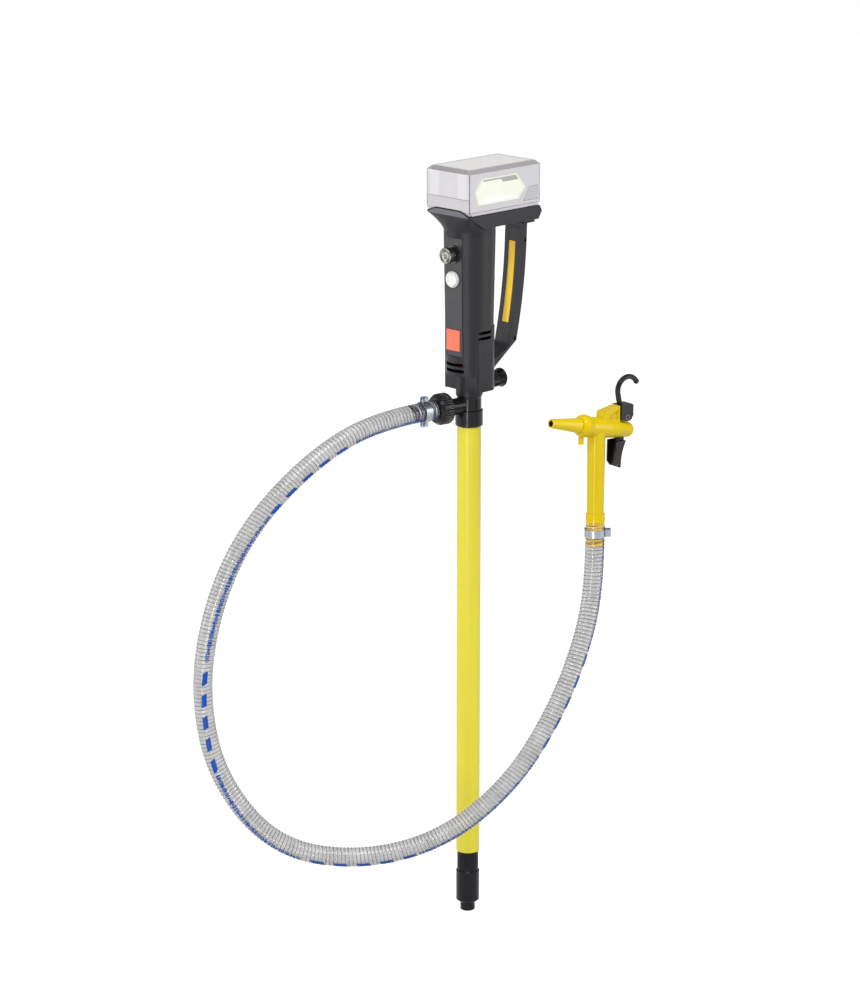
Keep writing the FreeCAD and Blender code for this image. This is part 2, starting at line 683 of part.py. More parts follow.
def nozzle_peg():
    """The ribbed peg on the rear of the block, for hanging the nozzle or the hose."""
    outline = [(0, PEG_BASE - 8), (2.9, PEG_BASE - 8), (2.9, PEG_BASE - 0.4), (13.0, PEG_BASE + FIT),
               (13.0, PEG_BASE + 3), (9.2, PEG_BASE + 8), (9.0, PEG_REACH - 10),
               (12.2, PEG_REACH - 3), (12.8, PEG_REACH - 2), (12.8, PEG_REACH - 0.6), (12.0, PEG_REACH),
               (0, PEG_REACH)]
    spool = turned(outline, Z)
    rib = box(8.5, 11.5, -0.9, 0.9, PEG_BASE + 3, PEG_REACH - 4)
    spool = joined(spool, *around(rib, 8)).cut(rod(4.5, PEG_REACH - 3, PEG_REACH + 1))
    spool.rotate(Vector(), X, -90)
    spool.translate(Vector(0, 0, PEG_HEIGHT))
    return spool.cut(rod(BLOCK_RADIUS + FIT, 0, 100).cut(rod(3, 0, 200, Y, Vector(0, 0, PEG_HEIGHT))))


# ---- controls ---------------------------------------------------------------------------------
def control_panel():
    """The flat front plate that carries the knob, the button and the badge."""
    body = box(-PANEL_HALF + SEAM, PANEL_HALF - SEAM, PANEL_FACE, PANEL_BACK - 0.05,
               PANEL_FOOT + SEAM, PANEL_TOP - SEAM)
    return body.cut([rod(4.0, -60, -20, Y, Vector(0, 0, KNOB_HEIGHT)),
                     rod(BUTTON_RADIUS + RUN, -60, -20, Y, Vector(0, 0, BUTTON_HEIGHT)),
                     box(-BADGE_HALF - FIT, BADGE_HALF + FIT, PANEL_FACE - 1, PANEL_FACE + 0.5,
                         BADGE_FOOT - FIT, BADGE_TOP + FIT)])


def badge_plate():
    """The plain coloured badge plate."""
    return box(-BADGE_HALF, BADGE_HALF, PANEL_FACE - 0.5, PANEL_FACE + 0.45, BADGE_FOOT, BADGE_TOP)


def knob_base():
    """The fixed black collar under the speed knob."""
    return ring(12.0, 4.0, PANEL_FACE - 2.4, PANEL_FACE - 0.05, Y, Vector(0, 0, KNOB_HEIGHT))


def speed_knob():
    """The speed knob, with a knurled skirt, a bright cap and its spindle."""
    at = Vector(0, 0, KNOB_HEIGHT)
    front = PANEL_FACE - KNOB_REACH
    skirt_end = PANEL_FACE - 2.4 - RUN
    groove = rod(0.6, front + 4, skirt_end, Y, Vector(0, 0, 9.6))
    skirt = rod(9.5, front + 4, skirt_end, Y).cut(around(groove, 24, Y))
    skirt.translate(at)
    cap = rod(KNOB_RADIUS, front, front + 4, Y, at)
    mark = box(-0.5, 0.5, front - 1, front + 0.5, KNOB_HEIGHT + 4, KNOB_HEIGHT + 9)
    return joined(skirt, cap, rod(3.0, skirt_end - 1, WALL_BACK + 6, Y, at)).cut(mark)


def button_ring():
    """The fixed rim around the power button."""
    return ring(10.75, BUTTON_RADIUS + RUN, PANEL_FACE - 3.0, PANEL_FACE - 0.05, Y, Vector(0, 0, BUTTON_HEIGHT))


def power_button():
    """The power button: a cap that travels in its rim, with a plunger behind."""
    at = Vector(0, 0, BUTTON_HEIGHT)
    front = PANEL_FACE - BUTTON_REACH
    back = PANEL_FACE + 0.5
    return joined(rod(BUTTON_RADIUS, front, back, Y, at), rod(3.0, back - 1, WALL_BACK - 0.5, Y, at))


def switch_body():
    """The switch that the power button works, standing on the control board."""
    at = BUTTON_HEIGHT
    return box(-7, 7, WALL_BACK + BUTTON_TRAVEL, WALL_BACK + 8.4, at - 7, at + 7)


def potentiometer():
    """The speed control behind the knob, bored for its spindle."""
    at = Vector(0, 0, KNOB_HEIGHT)
    return ring(8.0, 3.0 + FIT, WALL_BACK + 0.1, WALL_BACK + 8.4, Y, at)


def control_board():
    """The circuit board behind the panel, with its power transistors."""
    face = WALL_BACK + 8.5
    board = box(-17, 17, face, face + 1.6, 188, 250)
    parts = [box(x - 4, x + 4, face + 1.6, face + 6, 192, 204) for x in (-10, 0, 10)]
    posts = [rod(2.0, WALL_BACK + 0.05, face + 0.5, Y, Vector(x, 0, z)) for x in (-13, 13) for z in (192, 246)]
    return joined(board, *parts, *posts)


# ---- motor ------------------------------------------------------------------------------------
def motor_can():
    """The motor's can, open at the top."""
    body = rod(MOTOR_RADIUS, MOTOR_FOOT + 0.05, MOTOR_TOP)
    return body.cut([rod(MOTOR_RADIUS - MOTOR_WALL, MOTOR_FOOT + 2, MOTOR_TOP + 1), rod(8.0, 0, MOTOR_TOP)])


def motor_end_cap():
    """The moulded cap at the top of the motor, with its two brush holders."""
    cap = joined(rod(MOTOR_RADIUS, MOTOR_TOP + 0.05, MOTOR_TOP + 5),
                 rod(MOTOR_RADIUS - MOTOR_WALL - FIT, MOTOR_TOP - 4, MOTOR_TOP + 1),
                 rod(8.0, MOTOR_TOP, MOTOR_TOP + 10))
    return cap.cut([rod(6.0 + FIT, MOTOR_TOP - 5, MOTOR_TOP + 6),
                    ring(MOTOR_RADIUS - MOTOR_WALL - 2, 9.0, MOTOR_TOP - 5, MOTOR_TOP)])


def motor_magnets():
    """Two curved magnets inside the can."""
    outer = MOTOR_RADIUS - MOTOR_WALL - FIT
    band = ring(outer, ARMATURE_RADIUS + RUN, MOTOR_FOOT + 4, MOTOR_TOP - 8)
    return together(*band.cut(box(-30, 30, -4, 4, 0, 300)).Solids)


def motor_bearings():
    """The motor's two bearings."""
    return together(ring(8.0 - FIT, MOTOR_SHAFT_RADIUS + FIT, MOTOR_FOOT - 1.5, MOTOR_FOOT + 2.5),
                    ring(6.0, MOTOR_SHAFT_RADIUS + FIT, MOTOR_TOP + 1.5, MOTOR_TOP + 5.9))


def motor_shaft():
    """The motor's shaft."""
    return rod(MOTOR_SHAFT_RADIUS, DOG_FOOT + DOG_HEIGHT + RUN, MOTOR_TOP + 5.8)


def armature():
    """The wound armature, slotted, with its commutator."""
    core = ring(ARMATURE_RADIUS, MOTOR_SHAFT_RADIUS, MOTOR_FOOT + 8, MOTOR_TOP - 14)
    groove = box(7, ARMATURE_RADIUS + 1, -1.2, 1.2, 0, MOTOR_TOP)
    commutator = ring(5.5, MOTOR_SHAFT_RADIUS, MOTOR_TOP - 14.5, MOTOR_TOP - 1)
    return joined(core.cut(around(groove, 8)), commutator)


def motor_fan():
    """The cooling fan on the motor's shaft, level with the lower slots."""
    foot = LEDGE_FOOT - 9
    hub = ring(6.0, MOTOR_SHAFT_RADIUS, foot, LEDGE_FOOT - 1)
    disc = ring(FAN_RADIUS, MOTOR_SHAFT_RADIUS, LEDGE_FOOT - 3, LEDGE_FOOT - 1.5)
    blade = box(5, FAN_RADIUS - 1, -0.6, 0.6, foot, LEDGE_FOOT - 2)
    return joined(hub, disc, *around(blade, 9))


def neck_bearing():
    """The bearing that centres the pump shaft in the neck."""
    return ring(NECK_BORE - FIT, SHAFT_RADIUS + FIT, 58, 66)


# ---- battery deck -----------------------------------------------------------------------------
def four_sided(height, half, middle):
    """A closed wire of four arcs at a height, through corners at (half, half) and middles at middle."""
    corners = [Vector(sx * half, sy * half, height) for sx, sy in ((1, 1), (-1, 1), (-1, -1), (1, -1))]
    middles = [Vector(x * middle, y * middle, height) for x, y in ((0, 1), (-1, 0), (0, -1), (1, 0))]
    return Part.Wire([Part.Arc(corners[i], middles[i], corners[(i + 1) % 4]).toShape() for i in range(4)])


def deck_flare():
    """The hollow-curved flare from the deck's front corners down to the round column."""
    half = DECK_HALF
    corners = [Vector(sx * half, sy * half, FLARE_TOP) for sx, sy in ((1, 1), (-1, 1), (-1, -1), (1, -1))]
    top = Part.Wire([Part.makeLine(corners[i], corners[(i + 1) % 4]) for i in range(4)])
    waist = four_sided(FLARE_WAIST, 29.6, 35.4)
    foot = four_sided(FLARE_FOOT, COLUMN_TOP_RADIUS / math.sqrt(2), COLUMN_TOP_RADIUS)
    flare = Part.makeLoft([foot, waist, top], True, False)
    return flare.common(box(-half, half, DECK_FRONT, FLARE_REAR, COLUMN_TOP, DECK_TOP))


def battery_deck():
    """The deck that the battery slides on, flared into the column, with its two rails."""
    slab = box(-DECK_HALF, DECK_HALF, DECK_FRONT, DECK_REAR, DECK_FOOT, DECK_TOP)
    front_wedge = plate_x([(DECK_FRONT - 2, FLARE_TOP), (DECK_FRONT, FLARE_TOP), (-12, DECK_FOOT),
                           (-12, DECK_FOOT - 1), (DECK_FRONT - 2, DECK_FOOT - 1)], DECK_HALF + 1)
    rear_wedges = [plate_x([(DECK_REAR, DECK_TOP - 7), (DECK_REAR + 1, DECK_TOP - 7), (DECK_REAR + 1, DECK_TOP + 1),
                            (DECK_REAR - 4, DECK_TOP + 1), (DECK_REAR - 4, DECK_TOP)], DECK_HALF + 1),
                   plate_x([(DECK_REAR, DECK_TOP - 8), (DECK_REAR + 1, DECK_TOP - 8), (DECK_REAR + 1, DECK_FOOT - 1),
                            (DECK_REAR - 6, DECK_FOOT - 1), (DECK_REAR - 6, DECK_FOOT)], DECK_HALF + 1)]
    slab = slab.cut([front_wedge] + rear_wedges)
    flare = deck_flare()
    throat = rod(COLUMN_TOP_RADIUS, COLUMN_TOP, DECK_FOOT + 1)
    step = box(-DECK_HALF + 2, DECK_HALF - 2, 64, 84, DECK_FOOT - 3.5, DECK_FOOT + 1)
    rails = []
    for side in (-1, 1):
        web = box(RAIL_WEB[0], RAIL_WEB[1], RAIL_FRONT, RAIL_REAR, DECK_TOP - 1, DECK_TOP + RAIL_HEIGHT)
        flange = box(RAIL_FLANGE[0], RAIL_FLANGE[1], RAIL_FRONT, RAIL_REAR,
                     DECK_TOP + RAIL_HEIGHT - RAIL_LIP, DECK_TOP + RAIL_HEIGHT)
        rail = web.fuse(flange)
        rails.append(rail if side > 0 else mirrored(rail))
    body = joined(slab, flare, throat, step, *rails)
    hollow = [rod(COLUMN_TOP_RADIUS - WALL, COLUMN_TOP - 1, DECK_TOP - WALL),
              box(-20, 20, 0, 66, DECK_FOOT + WALL, DECK_TOP - WALL),
              box(-HANDLE_HALF - FIT, HANDLE_HALF + FIT, 70, 100, DECK_FOOT - 4, DECK_FOOT + FIT / 2)]
    return body.cut(hollow)


def terminal_block():
    """The moulded block at the rear of the deck that carries the blades."""
    body = box(-14, 14, TERMINAL_FRONT, RAIL_REAR, DECK_TOP + 0.05, DECK_TOP + 13)
    return body.cut([box(x - 0.45, x + 0.45, TERMINAL_FRONT - 1, TERMINAL_FRONT + 10, DECK_TOP + 3 - 0.05,
                         DECK_TOP + 10.05) for x in (-8, 0, 8)])


def terminal_blades():
    """The three blades that enter the battery's contacts."""
    return together(*[box(x - 0.4, x + 0.4, BLADE_FRONT, TERMINAL_FRONT + 9.9, DECK_TOP + 3, DECK_TOP + 10)
                      for x in (-8, 0, 8)])


# ---- battery ----------------------------------------------------------------------------------
def pack_block(inset, foot, top):
    """The battery's outer block, drawn in by an inset, with its chamfered top and feet."""
    profile = [(PACK_FRONT + inset, foot), (PACK_REAR - inset, foot), (PACK_REAR - inset, top),
               (PACK_FRONT + inset, top)]
    body = plate_x(profile, PACK_HALF - inset)
    if inset == 0:
        upper = [edge for edge in body.Edges if edge.BoundBox.ZMin > top - 1e-6]
        body = body.makeChamfer(PACK_CHAMFER, upper)
        lower = [edge for edge in body.Edges
                 if edge.BoundBox.ZMax < foot + 1e-6 and edge.BoundBox.XLength > 10]
        body = body.makeChamfer(PACK_CHAMFER, lower)
    return body


def battery_base():
    """The battery's foot: rail grooves and contact pocket below, cell tray above."""
    outer = pack_block(0, PACK_FOOT, PACK_TOP)
    foot = outer.common(box(-50, 50, -60, 120, PACK_FOOT, SIDE_SEAM))
    tray_half = PACK_HALF - PACK_WALL - FIT
    tray = box(-tray_half, tray_half, PACK_FRONT + PACK_WALL - 1, PACK_REAR - PACK_WALL - FIT, PACK_FOOT,
               PACK_SEAM - SEAM)
    wall_half = PACK_HALF - CORNER_WIDTH - FIT
    front_wall = outer.common(box(-wall_half, wall_half, -60, PACK_FRONT + PACK_WALL - FIT, PACK_FOOT,
                                  PACK_SEAM - SEAM))
    body = joined(foot, tray, front_wall)
    cuts = [box(-PACK_HALF + 2 * PACK_WALL, PACK_HALF - 2 * PACK_WALL, PACK_FRONT + 2 * PACK_WALL,
                PACK_REAR - 2 * PACK_WALL, PACK_SHELF, PACK_TOP)]
    gap = 0.5
    for side in (-1, 1):
        web = box(RAIL_WEB[0] - gap, RAIL_WEB[1] + gap, RAIL_FRONT - gap, PACK_REAR + 1, PACK_FOOT - 1,
                  DECK_TOP + RAIL_HEIGHT)
        flange = box(RAIL_FLANGE[0] - gap, RAIL_FLANGE[1] + gap, RAIL_FRONT - gap, PACK_REAR + 1,
                     DECK_TOP + RAIL_HEIGHT - RAIL_LIP - gap, DECK_TOP + RAIL_HEIGHT + gap)
        groove = web.fuse(flange)
        cuts.append(groove if side > 0 else mirrored(groove))
    cuts.append(box(-14.5, 14.5, BLADE_FRONT - 8, PACK_REAR + 1, PACK_FOOT - 1, DECK_TOP + 13.5))
    buttons = [release_plate(side, RUN) for side in (-1, 1)]
    return body.cut(cuts + buttons)


def battery_cover():
    """The battery's shell over the cells, open below, cut away for the front of the foot."""
    outer = pack_block(0, PACK_FOOT, PACK_TOP).common(box(-50, 50, -60, 120, SIDE_SEAM + SEAM, PACK_TOP))
    inner = box(-PACK_HALF + PACK_WALL, PACK_HALF - PACK_WALL, PACK_FRONT + PACK_WALL, PACK_REAR - PACK_WALL,
                PACK_FOOT, PACK_TOP - PACK_WALL)
    inner = inner.makeChamfer(PACK_CHAMFER, [edge for edge in inner.Edges
                                             if edge.BoundBox.ZMin > PACK_TOP - PACK_WALL - 1e-6])
    rear_mouth = [box(-14.6, 14.6, PACK_REAR - PACK_WALL - 1, PACK_REAR + 1, PACK_FOOT, DECK_TOP + 13.6)]
    for side in (-1, 1):
        mouth = box(RAIL_WEB[0] - 0.6, RAIL_FLANGE[1] + 0.6, PACK_REAR - PACK_WALL - 1, PACK_REAR + 1,
                    PACK_FOOT, DECK_TOP + RAIL_HEIGHT + 0.6)
        rear_mouth.append(mouth if side > 0 else mirrored(mouth))
    front_gap = box(-PACK_HALF + CORNER_WIDTH, PACK_HALF - CORNER_WIDTH, PACK_FRONT - 1,
                    PACK_FRONT + PACK_WALL + 0.5, PACK_FOOT, PACK_SEAM)
    labels = [label_plate(side, FIT) for side in (-1, 1)]
    buttons = [release_plate(side, RUN) for side in (-1, 1)]
    gauge = gauge_plate(FIT)
    return outer.cut([inner, front_gap, gauge] + rear_mouth + labels + buttons)


def label_plate(side, gap=0.0):
    """The plain six-sided panel on a side of the battery, grown by a gap for its pocket."""
    outer = PACK_HALF + 0.3
    inner = PACK_HALF - 0.9
    points = [Vector(0, y, z) for y, z in LABEL_OUTLINE]
    face = Part.Face(Part.makePolygon(points + points[:1]))
    if gap:
        face = face.makeOffset2D(gap)
    face.translate(X * (inner - gap))
    body = face.extrude(X * (outer - inner + gap))
    return body if side > 0 else mirrored(body)


def battery_labels():
    """The plain panels on both sides of the battery."""
    return together(label_plate(-1), label_plate(1))


def release_plate(side, gap=0.0):
    """A release button's stepped outline in the battery's side, grown by a gap for its window."""
    points = [Vector(0, y, z) for y, z in RELEASE_OUTLINE]
    face = Part.Face(Part.makePolygon(points + points[:1]))
    inner = PACK_HALF - RELEASE_THICKNESS
    if gap:
        face = face.makeOffset2D(gap)
        inner = PACK_HALF - 2 * RELEASE_THICKNESS
    face.translate(X * inner)
    body = face.extrude(X * (PACK_HALF - inner + (1.0 if gap else 0.0)))
    return body if side > 0 else mirrored(body)


def release_button_left():
    """The release button at -X."""
    return release_plate(-1)


def release_button_right():
    """The release button at +X."""
    return release_plate(1)


def gauge_plate(gap=0.0):
    """The charge gauge on the chamfer over the battery's front, grown by a gap for its pocket."""
    slope = PACK_CHAMFER * math.sqrt(2)
    half = 30.0 + gap
    body = box(-half, half, -slope / 2 + 0.6 - gap, slope / 2 - 0.6 + gap, -0.8 - gap, 0.3)
    body.rotate(Vector(), X, 45)
    body.translate(Vector(0, PACK_FRONT + PACK_CHAMFER / 2, PACK_TOP - PACK_CHAMFER / 2))
    return body


def battery_gauge():
    """The charge gauge strip, with two round keys."""
    keys = []
    for x in (-18.0, 16.0):
        key = rod(2.4, -0.6, 0.8, Z)
        key.rotate(Vector(), X, 45)
        key.translate(Vector(x, PACK_FRONT + PACK_CHAMFER / 2, PACK_TOP - PACK_CHAMFER / 2))
        keys.append(key)
    return joined(gauge_plate(), *keys)


def battery_cells():
    """The cells, lying across the battery in two layers on the foot's shelf."""
    cells = []
    pitch = 2 * CELL_RADIUS + RUN
    middle = (PACK_FRONT + PACK_REAR) / 2
    for layer in range(CELL_LAYERS):
        for column in range(CELL_COLUMNS):
            y = middle + (column - (CELL_COLUMNS - 1) / 2.0) * pitch
            z = PACK_SHELF + FIT + CELL_RADIUS + layer * pitch
            cells.append(rod(CELL_RADIUS, -CELL_LENGTH / 2, CELL_LENGTH / 2, X, Vector(0, y, z)))
    return together(*cells)


def battery_contacts():
    """Sprung contact pairs in the foot's pocket, one pair to each blade."""
    clips = []
    for x in (-8, 0, 8):
        heel = box(x - 2.4, x + 2.4, BLADE_FRONT - 7.95, BLADE_FRONT - 6.4, DECK_TOP + 4, DECK_TOP + 9)
        leaves = [box(x + side * 1.4 - 0.4, x + side * 1.4 + 0.4, BLADE_FRONT - 7, BLADE_FRONT + 12,
                      DECK_TOP + 4, DECK_TOP + 9) for side in (-1, 1)]
        clips.append(joined(heel, *leaves))
    return together(*clips)


# ---- nozzle -----------------------------------------------------------------------------------
def at_axis(forward):
    """The height of the barrel's axis at a place along the nozzle."""
    return forward * math.tan(math.radians(BARREL_TILT))


def nozzle_body():
    """The cast nozzle body: grip, tilted barrel, ring, nub and the bracket for the hook."""
    barrel = turned([(0, RING_END), (RING_RADIUS - 3.5, RING_END), (RING_RADIUS - 0.8, RING_END - 4),
                     (RING_RADIUS, RING_END - 8), (RING_RADIUS - 0.6, RING_START + 4),
                     (BARREL_RADIUS, RING_START), (BARREL_RADIUS, -18), (BARREL_REAR_RADIUS, -BARREL_REAR),
                     (0, -BARREL_REAR)], X)
    ball = Part.makeSphere(BARREL_REAR_RADIUS, Vector(-BARREL_REAR, 0, 0))
    grip = turned([(0, 0), (GRIP_TOP_RADIUS, 0), (GRIP_END_RADIUS, -GRIP_LENGTH), (0, -GRIP_LENGTH)])
    nub = rod(3.6, -19.0, 0, Z, Vector(26, 0, 0))
    bracket = plate([(-5, 5), (-6.5, 20), (-32, 24.5), (-34.4, 24.5), (-34.4, -6), (-10, -6)], -7, 7)
    window = [(-16.5, 8.5), (-17.5, 13.5), (-32, 19.5), (-32, 6.5)]
    windows = [plate(window, 4.5, 8), plate(window, -8, -4.5)]
    lug = joined(plate([(-33, -4), (-33, 13), (HOOK_BOLT[0], 13), (-50.5, 9), (-50.5, -10)],
                       -HOOK_LUG_HALF, HOOK_LUG_HALF),
                 rod(5.2, -HOOK_LUG_HALF, HOOK_LUG_HALF, Y, Vector(HOOK_BOLT[0], 0, HOOK_BOLT[1])))
    body = joined(tilted(barrel), tilted(ball), grip, nub, bracket.cut(windows), lug)
    pivot = Vector(PIVOT[0], 0, PIVOT[1])
    slot_half = TRIGGER_ARM_HALF + RUN
    cuts = [tilted(rod(BARREL_BORE, -28, RING_END + 1, X)),
            tilted(rod(STEM_RADIUS + RUN, -36, -20, X)),
            rod(GRIP_BORE, -GRIP_LENGTH - 1, 0),
            plate([(-48.5, -30), (-48.5, -9), (-44, -4.2), (-33.4, -3.0), (-31.5, -5), (-31.5, -30)],
                  -slot_half, slot_half),
            rod(PIN_RADIUS, -20, 20, Y, pivot),
            rod(BOLT_RADIUS + 0.05, -20, 20, Y, Vector(HOOK_BOLT[0], 0, HOOK_BOLT[1]))]
    return in_nozzle(body.cut(cuts))


def nozzle_spout():
    """The tapered spout, screwed into the front of the barrel."""
    outer = turned([(0, RING_END + 0.05), (SPOUT_ROOT_RADIUS, RING_END + 0.05),
                    (SPOUT_TIP_RADIUS, SPOUT_END), (0, SPOUT_END)], X)
    spigot = rod(BARREL_BORE - FIT, RING_END - 8, RING_END + 1, X)
    return in_barrel(joined(outer, spigot).cut([rod(SPOUT_BORE, 0, SPOUT_END + 1, X),
                                                rod(6.2, 0, RING_END + 4, X)]))


def nozzle_tail():
    """The collar and barbed tail below the grip."""
    top = -GRIP_LENGTH - 0.05
    end = -HOSE_END_DROP - NOZZLE_TAIL_IN_HOSE
    teeth = barbs(HOSE_END_DROP, HOSE_END_DROP + NOZZLE_TAIL_IN_HOSE, TAIL_RADIUS)
    for tooth in teeth:
        tooth.rotate(Vector(), Y, 90)
    body = joined(turned([(0, top), (TAIL_COLLAR_RADIUS - 1, top), (TAIL_COLLAR_RADIUS, top - 1),
                          (TAIL_COLLAR_RADIUS, -HOSE_END_DROP + 0.3), (0, -HOSE_END_DROP + 0.3)]),
                  rod(TAIL_RADIUS - 1, end, top), rod(GRIP_BORE - FIT, top - 1, top + 16), *teeth)
    return in_nozzle(body.cut(rod(GRIP_BORE - 2, end - 1, top + 20)))


def nozzle_clamp_band():
    """The band and case of the worm-drive clamp."""
    middle = -HOSE_END_DROP - 14.3
    band = ring(HOSE_RADIUS + 0.05 + CLAMP_THICKNESS, HOSE_RADIUS + 0.05, middle - CLAMP_WIDTH / 2,
                middle + CLAMP_WIDTH / 2)
    case = box(HOSE_RADIUS + 0.2, WORM_AXIS + 3.4, -6, 6, middle - 4.6, middle + 4.6)
    case = case.cut([rod(HOSE_RADIUS + 0.05, -300, 0),
                     rod(WORM_RADIUS + FIT, -7, 7, Y, Vector(WORM_AXIS, 0, middle))])
    body = joined(band, case)
    body.rotate(Vector(), Z, 142)
    return in_nozzle(body)


def nozzle_clamp_screw():
    """The clamp's worm screw with its slotted hexagon head."""
    middle = -HOSE_END_DROP - 14.3
    at = Vector(WORM_AXIS, 0, middle)
    screw = joined(rod(WORM_RADIUS, -6.2, 6.5, Y, at), rod(WORM_RADIUS + 0.9, 6.3, 9.5, Y, at))
    screw = screw.cut(box(WORM_AXIS - 0.5, WORM_AXIS + 0.5, 8.2, 12, middle - 5, middle + 5))
    screw.rotate(Vector(), Z, 142)
    return in_nozzle(screw)


def nozzle_clamp():
    """The worm-drive clamp around the hose below the nozzle: band and screw."""
    return together(nozzle_clamp_band(), nozzle_clamp_screw())


def trigger():
    """The trigger: a channel open to the front, hung from an arm inside the barrel."""
    channel = plate(TRIGGER_SIDE, -TRIGGER_HALF, TRIGGER_HALF)
    hollow = plate([(-20.0, -22.0), (-39.8, -22.0), (-38.2, -27.0), (-34.7, -36.0), (-32.6, -46.0),
                    (-31.8, -60.0), (-20.0, -60.0)],
                   -TRIGGER_HALF + TRIGGER_WALL, TRIGGER_HALF - TRIGGER_WALL)
    pivot = Vector(PIVOT[0], 0, PIVOT[1])
    arm = joined(plate([(-43.6, -12), (-35.6, -12), (-35.6, -24.5), (-43.0, -24.5)],
                       -TRIGGER_ARM_HALF, TRIGGER_ARM_HALF),
                 rod(4.6, -TRIGGER_ARM_HALF, TRIGGER_ARM_HALF, Y, pivot))
    arm_foot = plate([(-35.6, -21.0), (-42.5, -21.0), (-42.4, -23.0), (-40.5, -27.0), (-38.0, -27.0),
                      (-35.6, -24.5)], -TRIGGER_ARM_HALF, TRIGGER_ARM_HALF)
    return in_nozzle(joined(channel.cut(hollow), arm, arm_foot).cut(rod(PIN_RADIUS + 0.05, -20, 20, Y, pivot)))


def trigger_pin():
    """The pin through the barrel that the trigger turns on."""
    return in_nozzle(rod(PIN_RADIUS, -11.2, 11.2, Y, Vector(PIVOT[0], 0, PIVOT[1])))


def hook_block():
    """The clevis at the foot of the hook, straddling the lug."""
    body = plate([(-35.4, 5.5), (-35.4, 24.8), (-54.0, 24.8), (-55.6, 23.0), (-55.6, 9.0), (-53.6, 6.6),
                  (-52.6, 4.4), (-50.2, 2.9), (-46.0, 2.4), (-38.0, 4.4)], -HOOK_BLOCK_HALF, HOOK_BLOCK_HALF)
    mouth = plate([(-30.0, -5), (-30.0, 15.0), (-60.0, 15.0), (-60.0, -5)],
                  -HOOK_LUG_HALF - RUN, HOOK_LUG_HALF + RUN)
    bolt = Vector(HOOK_BOLT[0], 0, HOOK_BOLT[1])
    return body.cut([mouth, rod(BOLT_RADIUS + 0.08, -20, 20, Y, bolt), rod(4.3, HOOK_BLOCK_HALF - 2, 20, Y, bolt)])


def nozzle_hook():
    """The swinging hook: its clevis and the open bow, which opens to the rear."""
    centre = Vector(HOOK_CENTRE[0], 0, HOOK_CENTRE[1])

    def on_bow(degrees):
        angle = math.radians(degrees)
        return centre + Vector(math.cos(angle), 0, math.sin(angle)) * HOOK_MEAN_RADIUS

    stem_foot = Vector(-43.5, 0, 20.0)
    join = on_bow(-20)
    stem = Part.Arc(stem_foot, Vector(-38.4, 0, 29.0), join).toShape()
    bow = Part.Arc(join, on_bow(65), on_bow(148)).toShape()
    path = Part.Wire([stem, bow])
    start = path.Edges[0].firstVertex().Point
    along = path.Edges[0].tangentAt(path.Edges[0].FirstParameter)
    section = Part.Wire(Part.makeCircle(HOOK_SECTION, start, along))
    bar = path.makePipeShell([section], True, False)
    return in_nozzle(joined(hook_block(), bar, Part.makeSphere(HOOK_SECTION + 0.2, on_bow(148))))


def hook_bolt():
    """The bolt through the clevis and the lug, its head sunk on the near side."""
    at = Vector(HOOK_BOLT[0], 0, HOOK_BOLT[1])
    bolt = joined(rod(BOLT_RADIUS, -HOOK_BLOCK_HALF, 8.0, Y, at), rod(4.1, 7.1, 9.2, Y, at))
    return in_nozzle(bolt.cut(rod(1.6, 8.0, 10.0, Y, at)))


def valve_seat():
    """The ring that the valve closes on."""
    return in_barrel(ring(BARREL_BORE - FIT, 5.0, 11.0, 14.0, X))


def valve_guide():
    """The gland behind the valve chamber, which guides the stem."""
    return in_barrel(ring(BARREL_BORE - FIT, STEM_RADIUS + FIT, -27.9, -21.0, X))


def valve_stem():
    """The valve: a disc in front of the seat on a stem that reaches back to the trigger."""
    return in_barrel(joined(rod(6.5, 14.1, 16.5, X), rod(STEM_RADIUS, -33.0, 15.0, X)))


NODES = [housing_left, housing_right, control_panel, badge_plate, grip_insert, housing_screws, nozzle_peg,
         knob_base, speed_knob, button_ring, power_button, switch_body, potentiometer, control_board,
         motor_can, motor_end_cap, motor_magnets, motor_bearings, motor_shaft, armature, motor_fan, drive_dog,
         driven_dog, drive_shaft, impeller, shaft_bushes, shaft_seal, neck_bearing,
         outlet_tee, tube_collar, pump_tube, foot_body, foot_sleeve,
         outlet_washer, hose_tail, union_nut, outlet_clamp, hose,
         battery_deck, terminal_block, terminal_blades, battery_base, battery_cover, battery_cells,
         battery_labels, battery_gauge, battery_contacts, release_button_left, release_button_right,
         nozzle_body, nozzle_spout, nozzle_tail, nozzle_clamp, trigger, trigger_pin,
         nozzle_hook, hook_bolt, valve_seat, valve_guide, valve_stem]

os.makedirs("parts", exist_ok=True)
for node in NODES:
    shape = node()
    if not shape.isValid() or not shape.Solids:
        print("CHECK", node.__name__, "valid", shape.isValid(), "solids", len(shape.Solids))
    shape.exportStep(os.path.join("parts", node.__name__ + ".step"))
print(len(NODES), "sub-parts")
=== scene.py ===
"""Battery drum pump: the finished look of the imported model, in metres, in the model's own frame.

+Z is up, the control panel faces -Y and the handle is at +Y.  The sections follow the pump as it is
put together: the studio, the hose, the dip tube, the motor head, the battery and the nozzle.
"""

import math
import random

import bmesh
import bpy
from mathutils import Matrix, Vector


